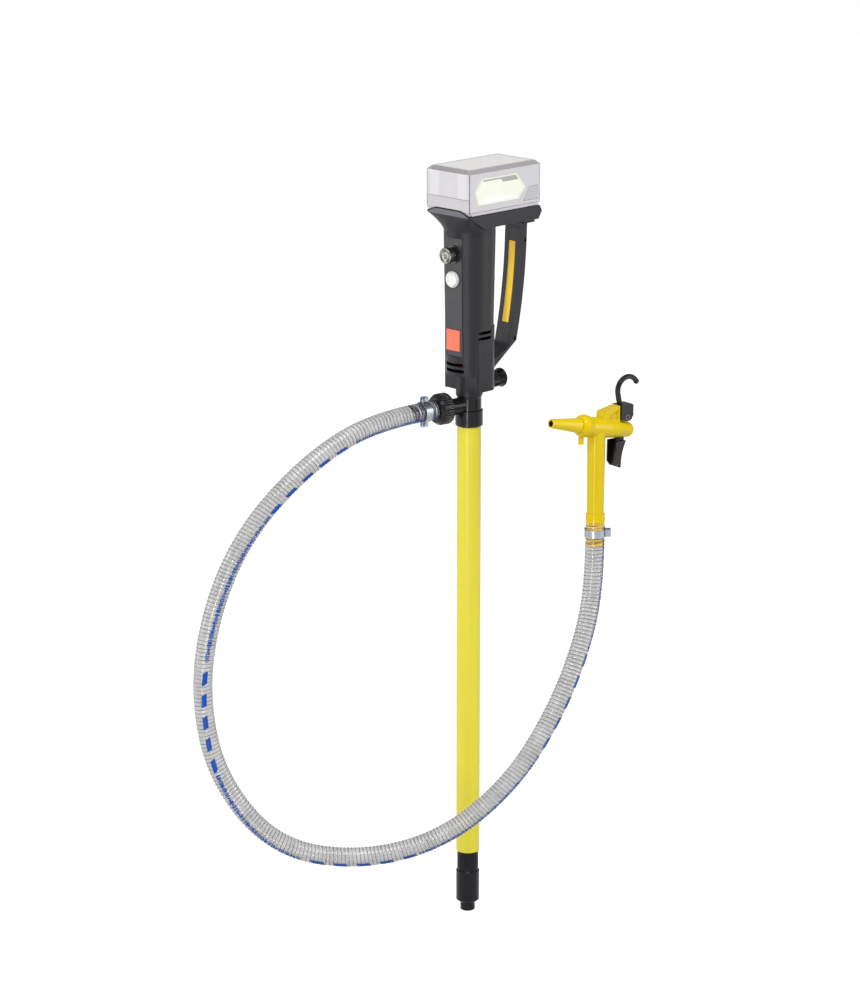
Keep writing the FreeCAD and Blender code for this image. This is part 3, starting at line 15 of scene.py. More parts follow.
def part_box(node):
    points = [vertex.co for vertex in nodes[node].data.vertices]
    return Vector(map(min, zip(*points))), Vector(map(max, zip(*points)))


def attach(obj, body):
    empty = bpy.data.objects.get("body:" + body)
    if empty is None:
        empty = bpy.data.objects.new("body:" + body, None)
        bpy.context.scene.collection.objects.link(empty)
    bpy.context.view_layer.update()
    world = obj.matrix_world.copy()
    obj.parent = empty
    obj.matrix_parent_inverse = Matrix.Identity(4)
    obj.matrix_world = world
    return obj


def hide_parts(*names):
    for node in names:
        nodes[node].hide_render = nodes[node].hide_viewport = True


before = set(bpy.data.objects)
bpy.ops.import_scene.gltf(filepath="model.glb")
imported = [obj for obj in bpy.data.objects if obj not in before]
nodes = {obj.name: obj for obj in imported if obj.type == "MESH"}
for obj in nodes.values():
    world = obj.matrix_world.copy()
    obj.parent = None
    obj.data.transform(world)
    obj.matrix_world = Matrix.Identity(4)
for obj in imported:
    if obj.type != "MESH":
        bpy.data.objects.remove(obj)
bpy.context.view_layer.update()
random.seed(7)

# ---- camera -----------------------------------------------------------------------------------
# A long lens a little above the pump's middle, looking at the control panel's corner from the
# right of it, so that the panel, the handle and the whole hose show.
CAMERA_PLACE = Vector((3.1305, -3.2033, 1.1143))
CAMERA_AIM = Vector((-0.0364, -0.0364, -0.1025))

lens = bpy.data.cameras.new("camera")
lens.lens = 126.0
lens.sensor_width = 36.0
lens.clip_end = 50.0
camera = bpy.data.objects.new("camera", lens)
camera.location = CAMERA_PLACE
camera.rotation_euler = (CAMERA_AIM - CAMERA_PLACE).to_track_quat("-Z", "Y").to_euler()
bpy.context.scene.collection.objects.link(camera)
bpy.context.scene.camera = camera
bpy.context.scene.view_settings.view_transform = "Standard"


# ---- floor and background ---------------------------------------------------------------------
# A white seamless sheet: the pump stands on it on its foot, and the same white runs up behind.
# What the lens sees is plain white, and the sheet keeps the pump's soft shadow.
class Value:
    """Something that varies over a surface; each sign on it adds a Math node."""

    def __init__(self, finish, socket):
        self.finish = finish
        self.socket = socket

    def __add__(self, other):
        return self.finish.maths("ADD", self, other)

    def __radd__(self, other):
        return self.finish.maths("ADD", other, self)

    def __sub__(self, other):
        return self.finish.maths("SUBTRACT", self, other)

    def __rsub__(self, other):
        return self.finish.maths("SUBTRACT", other, self)

    def __mul__(self, other):
        return self.finish.maths("MULTIPLY", self, other)

    def __rmul__(self, other):
        return self.finish.maths("MULTIPLY", other, self)

    def __gt__(self, other):
        return self.finish.maths("GREATER_THAN", self, other)

    def __lt__(self, other):
        return self.finish.maths("LESS_THAN", self, other)


class Finish:
    """A material while it is being made."""

    def __init__(self, name):
        self.material = bpy.data.materials.new(name)
        self.material.use_nodes = True
        self.tree = self.material.node_tree
        self.tree.nodes.clear()

    def add(self, kind, settings, sockets, output=0):
        """Adds a node with its settings, then its sockets' values or links, and returns an output."""
        made = self.tree.nodes.new("ShaderNode" + kind)
        for name, setting in settings.items():
            if name == "stops":
                ramp = made.color_ramp.elements
                while len(ramp) < len(setting):
                    ramp.new(1.0)
                for stop, (position, colour) in zip(ramp, setting):
                    stop.position = position
                    stop.color = colour
            else:
                setattr(made, name, setting)
        for name, given in sockets.items():
            if isinstance(given, Value):
                self.tree.links.new(given.socket, made.inputs[name])
            else:
                made.inputs[name].default_value = given
        return None if output is None else Value(self, made.outputs[output])

    def maths(self, operation, first, second=0.0, clamped=False):
        """A Math node on two values."""
        return self.add("Math", {"operation": operation, "use_clamp": clamped}, {0: first, 1: second})

    def mixed(self, factor, first, second):
        """A colour between two colours."""
        return self.add("Mix", {"data_type": "RGBA"}, {0: factor, 6: first, 7: second}, 2)

    def close(self, shader):
        """Ends the material with a shader and returns it."""
        self.add("OutputMaterial", {}, {"Surface": shader}, None)
        return self.material


def link_new(name, data):
    """A new object in the scene."""
    made = bpy.data.objects.new(name, data)
    bpy.context.scene.collection.objects.link(made)
    return made


FLOOR_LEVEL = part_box("foot_body")[0].z - 0.0002
FLOOR_RADIUS = 9.0
FLOOR_GLOW = 0.86

finish = Finish("seamless_sheet")
seen = finish.maths("MAXIMUM", finish.add("LightPath", {}, {}, "Is Camera Ray"),
                    finish.add("LightPath", {}, {}, "Is Glossy Ray"))
seen = finish.maths("MAXIMUM", seen, finish.add("LightPath", {}, {}, "Is Transmission Ray"))
glow = finish.add("Emission", {}, {"Color": (1, 1, 1, 1), "Strength": FLOOR_GLOW}, "Emission")
lit = finish.add("BsdfDiffuse", {}, {"Color": (0.45, 0.45, 0.45, 1)}, "BSDF")
both = finish.add("AddShader", {}, {0: glow, 1: lit})
sheet_white = finish.close(finish.add("MixShader", {}, {"Fac": seen, 1: lit, 2: both}))

mesh = bpy.data.meshes.new("floor")
shape = bmesh.new()
bmesh.ops.create_circle(shape, cap_ends=True, segments=96, radius=FLOOR_RADIUS,
                        matrix=Matrix.Translation((0, 0, FLOOR_LEVEL)))
shape.to_mesh(mesh)
shape.free()
floor = link_new("floor", mesh)
mesh.materials.append(sheet_white)

# ---- studio light -----------------------------------------------------------------------------
# Even white light from all round, a tall soft box at each side, a wide one high above the lens and
# one overhead, and a narrow low strip by the lens that draws the bright line down round pieces.
WORLD_STRENGTH = 0.38

world = bpy.data.worlds.new("studio")
world.use_nodes = True
bpy.context.scene.world = world
tree = world.node_tree
tree.nodes.clear()
path = tree.nodes.new("ShaderNodeLightPath")
around = tree.nodes.new("ShaderNodeBackground")
around.inputs["Strength"].default_value = WORLD_STRENGTH
behind = tree.nodes.new("ShaderNodeBackground")
behind.inputs["Strength"].default_value = 1.0
choose = tree.nodes.new("ShaderNodeMixShader")
ends = tree.nodes.new("ShaderNodeOutputWorld")
for background in (around, behind):
    background.inputs["Color"].default_value = (1, 1, 1, 1)
tree.links.new(path.outputs["Is Camera Ray"], choose.inputs["Fac"])
tree.links.new(around.outputs[0], choose.inputs[1])
tree.links.new(behind.outputs[0], choose.inputs[2])
tree.links.new(choose.outputs[0], ends.inputs["Surface"])


def soft_box(name, azimuth, elevation, distance, width, height, watts):
    """A rectangular lamp that faces the pump; azimuth 0 is in front of the control panel."""
    lamp = bpy.data.lights.new(name, "AREA")
    lamp.shape = "RECTANGLE"
    lamp.size = width
    lamp.size_y = height
    lamp.energy = watts
    made = link_new(name, lamp)
    turn = math.radians(azimuth)
    rise = math.radians(elevation)
    away = Vector((math.sin(turn) * math.cos(rise), -math.cos(turn) * math.cos(rise), math.sin(rise)))
    made.location = CAMERA_AIM + away * distance
    made.rotation_euler = (-away).to_track_quat("-Z", "Y").to_euler()


# Each has its azimuth and elevation in degrees, its distance, width and height, and its power.
soft_box("key_box", -42.0, 12.0, 3.2, 1.2, 2.1, 33.0)
soft_box("fill_box", 122.0, 12.0, 3.2, 1.2, 2.1, 36.0)
soft_box("front_box", 45.0, 55.0, 3.3, 1.8, 1.2, 50.0)
soft_box("lens_strip", 30.0, -3.0, 1.8, 0.045, 1.25, 12.0)
soft_box("top_box", 45.0, 86.0, 3.0, 1.4, 1.4, 12.0)

# ---- hose: the free cord ----------------------------------------------------------------------
# One length of clear PVC suction hose, 26 mm outside, with a steel spring moulded into its wall.
# It is pushed over the tail at the outlet and over the nozzle's tail, and clamped at both ends.
HOSE_RADIUS = 0.0130
HOSE_START = 0.056                  # from the dip tube's axis, along the outlet
OUTLET_HEIGHT = 0.028
OUTLET_HEADING = math.radians(-100.0)
NOZZLE_HOSE_END = Vector((0.1692, 0.0631, -0.1115))
FIRST_RUN = 0.090                   # the route's first leg, along the outlet
LAST_RUN = 0.078                    # and its last leg, straight up to the nozzle
ROUTE_STEPS = 140                   # sampled points to each part of the route
SPRING_PITCH = 0.0050
SPRING_INSET = 0.002                # hose left beyond each end of the spring
SPRING_RADIUS = 0.01245
SPRING_WIRE = 0.00047
RIB_HEIGHT = 0.00022
CORE_RADIUS = 0.01235               # the milky inside of the wall
WALL_SPOKES = 32                    # points round the wall
TAIL_DEPTH = 0.042                  # how far the outlet's tail reaches into the hose
NOZZLE_TAIL_DEPTH = 0.031           # and the nozzle's tail
BARB_PITCH = 0.0085                 # between the ridges of a tail
PRINT_SIDE = Vector((0.64, -0.44, -0.63))       # the way that the printed side faces at first
PRINT_SIDE_LATER = Vector((0.90, 0.43, 0.09))   # and on the way up to the nozzle
PRINT_TURNS = (0.58, 0.84)                      # where it turns, as shares of the hose's points


def on_outlet(distance, level=0.0):
    """A point on the outlet's axis."""
    return Vector((math.cos(OUTLET_HEADING) * distance, math.sin(OUTLET_HEADING) * distance,
                   OUTLET_HEIGHT + level))


hose_places = [on_outlet(HOSE_START), on_outlet(HOSE_START + FIRST_RUN),
               Vector((-0.050, -0.240, -0.014)), Vector((-0.080, -0.325, -0.096)),
               Vector((-0.098, -0.372, -0.198)), Vector((-0.102, -0.390, -0.310)),
               Vector((-0.082, -0.378, -0.421)), Vector((-0.025, -0.332, -0.510)),
               Vector((0.050, -0.255, -0.530)), Vector((0.120, -0.170, -0.505)),
               Vector((0.170, -0.095, -0.435)), Vector((0.186, -0.027, -0.348)),
               Vector((0.182, 0.030, -0.262)), NOZZLE_HOSE_END - Vector((0, 0, LAST_RUN)),
               NOZZLE_HOSE_END]

route = bpy.data.curves.new("hose_route", "CURVE")
route.dimensions = "3D"
route.resolution_u = ROUTE_STEPS
line = route.splines.new("NURBS")
line.points.add(len(hose_places) - 1)
for point, place in zip(line.points, hose_places):
    point.co = (*place, 1.0)
line.order_u = 3
line.use_endpoint_u = True
route_object = link_new("hose_route", route)
route_mesh = bpy.data.meshes.new_from_object(route_object)
centres = [vertex.co.copy() for vertex in route_mesh.vertices]
bpy.data.objects.remove(route_object)
bpy.data.meshes.remove(route_mesh)

ahead = [(after - before).normalized() for before, after in zip(centres, centres[1:])]
ahead.append(ahead[-1])
ahead = [(one + other).normalized() for one, other in zip(ahead[:1] + ahead, ahead)]
sides = []
for index, way in enumerate(ahead):
    share = (index / len(ahead) - PRINT_TURNS[0]) / (PRINT_TURNS[1] - PRINT_TURNS[0])
    share = min(1.0, max(0.0, share))
    side = PRINT_SIDE.lerp(PRINT_SIDE_LATER, share * share * (3 - 2 * share))
    sides.append((side - way * side.dot(way)).normalized())
reach = [0.0]
for before, after in zip(centres, centres[1:]):
    reach.append(reach[-1] + (after - before).length)


def on_wall(index, angle, radius):
    """A point on the hose's wall; angle 0 is its printed side."""
    across = ahead[index].cross(sides[index])
    return centres[index] + (sides[index] * math.cos(angle) + across * math.sin(angle)) * radius


def rib(index, angle):
    """How far the wall falls in between the spring's turns, as a negative height."""
    turns = reach[index] / SPRING_PITCH - angle / math.tau
    return RIB_HEIGHT * (math.cos(math.tau * turns) - 1.0) / 2


def wall_mesh(name, first, last, spokes, surface):
    """A sheet round the hose, open at both ends, with its length and its angle as a UV map."""
    mesh = bpy.data.meshes.new(name)
    points = []
    quads = []
    for index in range(first, last + 1):
        for spoke in range(spokes):
            angle = math.tau * spoke / spokes
            points.append(on_wall(index, angle, surface(index, angle)))
    for row in range(last - first):
        for spoke in range(spokes):
            beside = (spoke + 1) % spokes
            quads.append((row * spokes + spoke, row * spokes + beside,
                          (row + 1) * spokes + beside, (row + 1) * spokes + spoke))
    mesh.from_pydata(points, [], quads)
    measure = mesh.uv_layers.new(name="along_hose")
    for face in mesh.polygons:
        for corner, loop in zip(face.vertices, face.loop_indices):
            row = corner // spokes
            spoke = corner % spokes
            if spoke == 0 and face.index % spokes == spokes - 1:
                spoke = spokes
            measure.data[loop].uv = (reach[first + row], spoke / spokes)
    mesh.polygons.foreach_set("use_smooth", [True] * len(mesh.polygons))
    return mesh


def index_at(distance):
    """The hose's sampled point nearest to a distance along it."""
    return min(range(len(reach)), key=lambda index: abs(reach[index] - distance))


def with_coordinates(name, output="Object"):
    """A new finish, and the place on the piece that its patterns read."""
    finish = Finish(name)
    return finish, finish.add("TexCoord", {}, {}, output)


def speckle(finish, place, scale, detail=2.0, roughness=0.5):
    """Soft random variation; scale is in blotches to the metre."""
    return finish.add("TexNoise", {}, {"Vector": place, "Scale": scale, "Detail": detail,
                                       "Roughness": roughness}, "Fac")


def clear_pvc():
    """Clear flexible PVC, a little milky, with the drag marks of its extrusion."""
    finish, place = with_coordinates("clear_pvc")
    drawn = finish.add("Mapping", {}, {"Vector": finish.add("TexCoord", {}, {}, "UV"),
                                       "Scale": (12.0, 60.0, 1.0)}, "Vector")
    marks = speckle(finish, drawn, 1.0, 3.0)
    along = finish.add("SeparateXYZ", {}, {"Vector": finish.add("TexCoord", {}, {}, "UV")}, "X")
    backed = (along > TAIL_DEPTH) * (along < reach[-1] - NOZZLE_TAIL_DEPTH)
    cloud = speckle(finish, place, 70.0, 2.0)
    relief = finish.add("Bump", {}, {"Strength": 0.25, "Distance": 0.0003, "Height": marks}, "Normal")
    return finish.close(finish.add("BsdfPrincipled", {}, {
        "Base Color": finish.mixed(cloud, (0.70, 0.69, 0.68, 1), (0.86, 0.85, 0.84, 1)),
        "Roughness": 0.09 + 0.12 * marks, "Alpha": (0.04 + 0.10 * backed) * (0.75 + 0.5 * cloud),
        "IOR": 1.5, "Specular IOR Level": 0.8, "Normal": relief}, "BSDF"))


def milky_core():
    """The inside of the wall: whitish over the open bore, and over a tail the tail's own colour,
    which the thick clear wall spreads to the hose's full width.  Pale bands over the black tail are a
    painted glint, brown bands over the yellow tail are painted shade of its barbs, and the whitish
    colour's rise and fall with the spring's pitch is painted shade of the pleats."""
    finish, place = with_coordinates("milky_core")
    along_and_round = finish.add("TexCoord", {}, {}, "UV")
    measure = finish.add("SeparateXYZ", {}, {"Vector": along_and_round}, "X")
    turned = finish.add("SeparateXYZ", {}, {"Vector": along_and_round}, "Y")
    pleat = finish.maths("SINE", (measure * (1.0 / SPRING_PITCH) - turned) * math.tau)
    barb = finish.maths("SINE", measure * (math.tau / BARB_PITCH) + 2.0 * pleat)
    over_outlet = measure < TAIL_DEPTH
    over_nozzle = measure > reach[-1] - NOZZLE_TAIL_DEPTH
    # Pale bands over the black tail: a painted glint. Dark brown bands over the yellow tail: painted
    # shade of the barbs.
    bright = finish.maths("MULTIPLY", barb - 0.72, 3.6, True)
    dull = finish.maths("MULTIPLY", barb * -1.0 - 0.62, 2.6, True)
    black_tail = finish.mixed(bright, (0.006, 0.006, 0.010, 1), (0.46, 0.50, 0.58, 1))
    yellow_tail = finish.mixed(dull, (0.740, 0.480, 0.001, 1), (0.22, 0.08, 0.02, 1))
    cloud = speckle(finish, place, 45.0, 3.0)
    fleck = speckle(finish, place, 330.0, 2.0)
    # The pleat term here is painted shade of the pleats; the cloud is random tone.
    shade = finish.maths("ADD", 0.5 + 0.16 * pleat, 1.5 * (cloud - 0.5), True)
    body = finish.mixed(shade, (0.38, 0.375, 0.385, 1), (0.66, 0.65, 0.645, 1))
    warm = finish.maths("MULTIPLY", fleck - 0.58, 3.0, True)
    bore = finish.mixed(warm, body, (0.70, 0.54, 0.43, 1))
    bore = finish.mixed(over_outlet, bore, black_tail)
    return finish.close(finish.add("BsdfPrincipled", {}, {
        "Base Color": finish.mixed(over_nozzle, bore, yellow_tail),
        "Roughness": 0.11 + 0.12 * cloud,
        "Alpha": 0.66 + 0.12 * shade + 0.26 * (over_outlet + over_nozzle),
        "IOR": 1.5, "Specular IOR Level": 0.8}, "BSDF"))


def spring_steel():
    """Thin bright-drawn wire, seen through the wall."""
    finish, place = with_coordinates("spring_steel")
    stain = speckle(finish, place, 160.0, 3.0)
    faded = finish.maths("MULTIPLY", speckle(finish, place, 75.0, 2.0) - 0.40, 3.2, True)
    wire = finish.mixed(stain, (0.020, 0.022, 0.035, 1), (0.07, 0.07, 0.09, 1))
    return finish.close(finish.add("BsdfPrincipled", {}, {
        "Base Color": finish.mixed(faded, wire, (0.30, 0.30, 0.32, 1)),
        "Metallic": 0.55, "Roughness": 0.30 + 0.2 * stain}, "BSDF"))


def print_blue():
    """Blue marking ink, a little thin in places."""
    finish, place = with_coordinates("marking_ink")
    thin = speckle(finish, place, 900.0, 2.0)
    return finish.close(finish.add("BsdfPrincipled", {}, {
        "Base Color": finish.mixed(thin, (0.001, 0.046, 0.30, 1), (0.003, 0.085, 0.42, 1)),
        "Roughness": 0.30 + 0.15 * thin, "Specular IOR Level": 0.2}, "BSDF"))


last = len(centres) - 1
hose = link_new("hose_wall", wall_mesh("hose_wall", 0, last, WALL_SPOKES,
                                       lambda index, angle: HOSE_RADIUS + rib(index, angle)))
hose.data.materials.append(clear_pvc())

hose_core = link_new("hose_core", wall_mesh("hose_core", 0, last, WALL_SPOKES,
                                            lambda index, angle: CORE_RADIUS + rib(index, angle)))
hose_core.data.materials.append(milky_core())

SPRING_STEPS = 16                   # points to each turn of the spring
SPRING_SIDES = 6
spring = bpy.data.meshes.new("hose_spring")
points = []
quads = []
turn_count = int((reach[-1] - 2 * SPRING_INSET) / SPRING_PITCH)
at = 0
for step in range(turn_count * SPRING_STEPS + 1):
    travel = SPRING_INSET + step * SPRING_PITCH / SPRING_STEPS
    while at < last - 1 and reach[at + 1] < travel:
        at += 1
    share = (travel - reach[at]) / (reach[at + 1] - reach[at])
    angle = math.tau * travel / SPRING_PITCH
    middle = on_wall(at, angle, SPRING_RADIUS).lerp(on_wall(at + 1, angle, SPRING_RADIUS), share)
    outward = (middle - centres[at].lerp(centres[at + 1], share)).normalized()
    for side in range(SPRING_SIDES):
        turned = math.tau * side / SPRING_SIDES
        points.append(middle + (outward * math.cos(turned) + ahead[at] * math.sin(turned)) * SPRING_WIRE)
for step in range(turn_count * SPRING_STEPS):
    for side in range(SPRING_SIDES):
        beside = (side + 1) % SPRING_SIDES
        quads.append((step * SPRING_SIDES + side, (step + 1) * SPRING_SIDES + side,
                      (step + 1) * SPRING_SIDES + beside, step * SPRING_SIDES + beside))
for end in (0, turn_count * SPRING_STEPS):
    rim = [end * SPRING_SIDES + side for side in range(SPRING_SIDES)]
    quads.append(tuple(rim if end == 0 else reversed(rim)))
spring.from_pydata(points, [], quads)
spring.polygons.foreach_set("use_smooth", [True] * len(spring.polygons))
hose_spring = link_new("hose_spring", spring)
hose_spring.data.materials.append(spring_steel())

# The marking along the hose: groups of five dashes, with short bars of uneven width between them.
MARK_HALF = 0.0034                  # half the marking's width round the hose
MARK_GROUPS = (-0.185, 0.154, 0.514, 0.820, 1.165, 1.520)      # where each group of dashes starts
MARK_DASHES = 5
DASH_PITCH = 0.0292
DASH_LENGTH = 0.0165
DASH_SLANT = 0.5
MARK_PROUD = 0.00010
MARK_MARGIN = 0.004                 # hose left unmarked at each end
MARK_STEP = 0.0012                  # between points along a mark
MARK_COLUMNS = 5                    # points across a mark
BARS_BEGIN = 0.55                   # how far before the next dash's place the bars begin, in pitches
BARS_END = 0.75                     # and how far before the next group they end
BAR_WIDTHS = (0.0010, 0.0030)
BAR_GAPS = (0.0006, 0.0012)
BAR_SHARES = (0.8, 0.9, 0.9, 0.5)   # of the marking's width
BAR_SLANT = 0.1
marks = []
for zone, following in zip(MARK_GROUPS, MARK_GROUPS[1:]):
    marks += [(zone + number * DASH_PITCH - DASH_LENGTH / 2, zone + number * DASH_PITCH + DASH_LENGTH / 2,
               1.0, DASH_SLANT) for number in range(MARK_DASHES)]
    bar = zone + (MARK_DASHES - BARS_BEGIN) * DASH_PITCH
    while bar < following - BARS_END * DASH_PITCH:
        width = random.uniform(*BAR_WIDTHS)
        marks.append((bar, bar + width, random.choice(BAR_SHARES), BAR_SLANT))
        bar += width + random.uniform(*BAR_GAPS)

points = []
quads = []
for start, end, share, slant in marks:
    if start < MARK_MARGIN or end > reach[-1] - MARK_MARGIN:
        continue
    rows = max(2, int(round((end - start) / MARK_STEP)) + 1)
    base = len(points)
    for row in range(rows):
        for column in range(MARK_COLUMNS):
            off = (2.0 * column / (MARK_COLUMNS - 1) - 1.0) * MARK_HALF * share
            index = index_at(start + (end - start) * row / (rows - 1) + slant * off)
            angle = off / HOSE_RADIUS
            points.append(on_wall(index, angle, HOSE_RADIUS + rib(index, angle) + MARK_PROUD))
    for row in range(rows - 1):
        for column in range(MARK_COLUMNS - 1):
            corner = base + row * MARK_COLUMNS + column
            above = corner + MARK_COLUMNS
            quads.append((corner, corner + 1, above + 1, above))
marking = bpy.data.meshes.new("hose_marking")
marking.from_pydata(points, [], quads)
marking.polygons.foreach_set("use_smooth", [True] * len(marking.polygons))
hose_marking = link_new("hose_marking", marking)
hose_marking.data.materials.append(print_blue())

for piece in (hose, hose_core, hose_spring, hose_marking):
    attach(piece, "pump")
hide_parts("hose")

# ---- dip tube and its collar -------------------------------------------------------------------
# A 32 mm pipe of yellow polypropylene, extruded and cut square, pushed up into a black collar.
# The extruder leaves faint lines along it, and drums and bungs leave fine scuffs round it.
EDGE_SAMPLES = 4
TUBE_YELLOW = (0.800, 0.710, 0.060, 1)
TUBE_YELLOW_DEEP = (0.730, 0.640, 0.036, 1)


def grained(finish, place, scale, depth, radius, strength=1.0, height=None):
    """Two normals: rounded edges under a fine relief, and the rounded edges alone."""
    rounded = finish.add("Bevel", {"samples": EDGE_SAMPLES}, {"Radius": radius}, "Normal")
    height = speckle(finish, place, scale) if height is None else height
    relief = finish.add("Bump", {}, {"Strength": strength, "Distance": depth, "Height": height,
                                     "Normal": rounded}, "Normal")
    return relief, rounded


def edge_wear_and_highlight(finish, rounded, gain):
    """From 0 on the flats to 1 on edges, where handling has polished the surface and where the paler edge
    colour is partly wear and partly a painted highlight.
    """
    flat = finish.add("NewGeometry", {}, {}, "Normal")
    like = finish.add("VectorMath", {"operation": "DOT_PRODUCT"}, {0: rounded, 1: flat}, "Value")
    return finish.maths("MULTIPLY", 1.0 - like, gain, True)


def dress(material, *names):
    """Gives CAD nodes their finish."""
    for name in names:
        nodes[name].material_slots[0].material = material


def extruded_pipe(name, colour, deep):
    """A pulled plastic pipe: long faint lines, a few scuffs round it, a soft gloss."""
    finish, place = with_coordinates(name)
    along = finish.add("Mapping", {}, {"Vector": place, "Scale": (420.0, 420.0, 3.0)}, "Vector")
    lines = speckle(finish, along, 1.0, 3.0)
    across = finish.add("Mapping", {}, {"Vector": place, "Scale": (30.0, 30.0, 900.0)}, "Vector")
    scuffs = finish.maths("MULTIPLY", speckle(finish, across, 1.0, 4.0) - 0.62, 5.0, True)
    cloud = speckle(finish, place, 18.0, 3.0)
    relief, rounded = grained(finish, place, 1.0, 0.00012, 0.0004, 0.35, lines)
    shade = finish.maths("ADD", 0.45 * cloud, 0.55 * lines, True)
    return finish.close(finish.add("BsdfPrincipled", {}, {
        "Base Color": finish.mixed(shade, deep, colour),
        "Roughness": 0.24 + 0.12 * lines + 0.12 * scuffs, "IOR": 1.5,
        "Specular IOR Level": 0.32, "Normal": relief}, "BSDF"))


dress(extruded_pipe("yellow_pipe", TUBE_YELLOW, TUBE_YELLOW_DEEP), "pump_tube")


def moulded(name, colour, roughness, grain=2600.0, depth=0.00006, edge=0.0006, drift=0.12,
            gloss=0.5, pale=0.25):
    """Injection-moulded plastic: fine spark-eroded grain, slow drift of colour, and edges paled by pale,
    partly as wear and partly as a painted highlight.
    """
    finish, place = with_coordinates(name)
    relief, rounded = grained(finish, place, grain, depth, edge)
    wear_and_highlight = edge_wear_and_highlight(finish, rounded, 3.0)
    cloud = speckle(finish, place, 34.0, 4.0)
    dark = tuple(part * (1.0 - drift) for part in colour[:3]) + (1,)
    light = tuple(part * (1.0 + drift) for part in colour[:3]) + (1,)
    # The edge colour is paler by pale: partly wear, partly a painted highlight along the edges.
    wear_and_highlight_colour = tuple(min(1.0, part * (1.0 + pale) + 0.01) for part in colour[:3]) + (1,)
    body = finish.mixed(cloud, dark, light)
    smear = speckle(finish, place, 260.0, 3.0)
    return finish.close(finish.add("BsdfPrincipled", {}, {
        "Base Color": finish.mixed(0.7 * wear_and_highlight, body, wear_and_highlight_colour),
        "Roughness": roughness - 0.05 + 0.12 * smear - 0.10 * wear_and_highlight, "IOR": 1.5,
        "Specular IOR Level": gloss, "Normal": relief}, "BSDF"))


GLOSS_BLACK = (0.0085, 0.0080, 0.0105, 1)
# With pale=3.0 the paler edges of the gloss black are mostly a painted highlight.
gloss_black = moulded("gloss_black", GLOSS_BLACK, 0.20, grain=900.0, depth=0.00002, edge=0.0007,
                      gloss=0.22, pale=3.0)
dress(gloss_black, "tube_collar", "outlet_tee", "union_nut", "nozzle_peg", "hose_tail")

# ---- foot -------------------------------------------------------------------------------------
# Black glass-filled plastic: a grooved neck, a plain sleeve over the impeller's chamber and a
# short nose that takes in the liquid.
foot_black = moulded("foot_black", (0.0075, 0.0060, 0.0095, 1), 0.20, grain=700.0, depth=0.00003,
                     edge=0.0007, gloss=0.17, pale=1.2)
dress(foot_black, "foot_body", "foot_sleeve")


# ---- shaft and impeller -----------------------------------------------------------------------
# A steel shaft down the tube in pale plastic bushes, with the impeller on its lower end.  A seal
# and a bearing hold it at the neck, and two red dogs couple it to the motor.
def turned_steel(name, colour, roughness, rings=(6.0, 6.0, 2400.0)):
    """Machined or drawn steel: fine tool lines one way and a little staining."""
    finish, place = with_coordinates(name)
    tooled = finish.add("Mapping", {}, {"Vector": place, "Scale": rings}, "Vector")
    lines = speckle(finish, tooled, 1.0, 3.0)
    stain = speckle(finish, place, 120.0, 4.0)
    relief, rounded = grained(finish, place, 1.0, 0.00003, 0.0003, 0.3, lines)
    dull = tuple(part * 0.72 for part in colour[:3]) + (1,)
    return finish.close(finish.add("BsdfPrincipled", {}, {
        "Base Color": finish.mixed(stain, dull, colour), "Metallic": 1.0,
        "Roughness": roughness + 0.14 * lines + 0.10 * stain, "Normal": relief}, "BSDF"))


dress(turned_steel("shaft_steel", (0.56, 0.56, 0.58, 1), 0.22), "drive_shaft", "motor_shaft")
dress(moulded("acetal_white", (0.66, 0.65, 0.61, 1), 0.36, edge=0.0004), "impeller", "shaft_bushes")
dress(moulded("seal_rubber", (0.012, 0.012, 0.013, 1), 0.62, grain=3400.0, depth=0.0001), "shaft_seal",
      "outlet_washer")
dress(turned_steel("bearing_steel", (0.50, 0.50, 0.52, 1), 0.16), "neck_bearing", "motor_bearings")
dress(moulded("coupling_plastic", (0.42, 0.055, 0.03, 1), 0.40, edge=0.0005), "drive_dog", "driven_dog")

# ---- outlet clamp -----------------------------------------------------------------------------
# Two half bands of bright zinc-plated steel, drawn together by a small bolt above and one below.
# The worm clamp at the nozzle has the same plating.
zinc = turned_steel("zinc_plate", (0.38, 0.42, 0.48, 1), 0.15, rings=(500.0, 500.0, 500.0))
dress(zinc, "outlet_clamp")

# ---- motor ------------------------------------------------------------------------------------
# A brushed direct-current motor: a plated steel can, ferrite magnets, a wound armature with a
# copper commutator, and a fan level with the lower slots.  The can and the winding are coloured
# darker than their metal, as painted shade inside the column behind the slots.
# Painted shade: the plated can is coloured near black so that the slots show dark.
dress(turned_steel("can_shaded_black", (0.030, 0.030, 0.032, 1), 0.42), "motor_can")
dress(moulded("cap_plastic", (0.020, 0.020, 0.022, 1), 0.42), "motor_end_cap", "motor_fan")
dress(moulded("ferrite", (0.030, 0.029, 0.030, 1), 0.60, grain=1800.0, depth=0.00015), "motor_magnets")


def copper_winding():
    """Enamelled copper wire laid round the core, over stacked iron sheets."""
    finish, place = with_coordinates("copper_winding")
    height = finish.add("SeparateXYZ", {}, {"Vector": place}, "Z")
    sheet = finish.maths("SINE", height * 9000.0)
    stain = speckle(finish, place, 220.0, 3.0)
    relief, rounded = grained(finish, place, 1.0, 0.0001, 0.0003, 0.5, sheet)
    # Painted shade: the copper is coloured darker than its own colour, so that the slots show dark.
    return finish.close(finish.add("BsdfPrincipled", {}, {
        "Base Color": finish.mixed(stain, (0.060, 0.020, 0.008, 1), (0.160, 0.060, 0.022, 1)),
        "Metallic": 0.7, "Roughness": 0.30 + 0.2 * stain, "Normal": relief}, "BSDF"))


dress(copper_winding(), "armature")

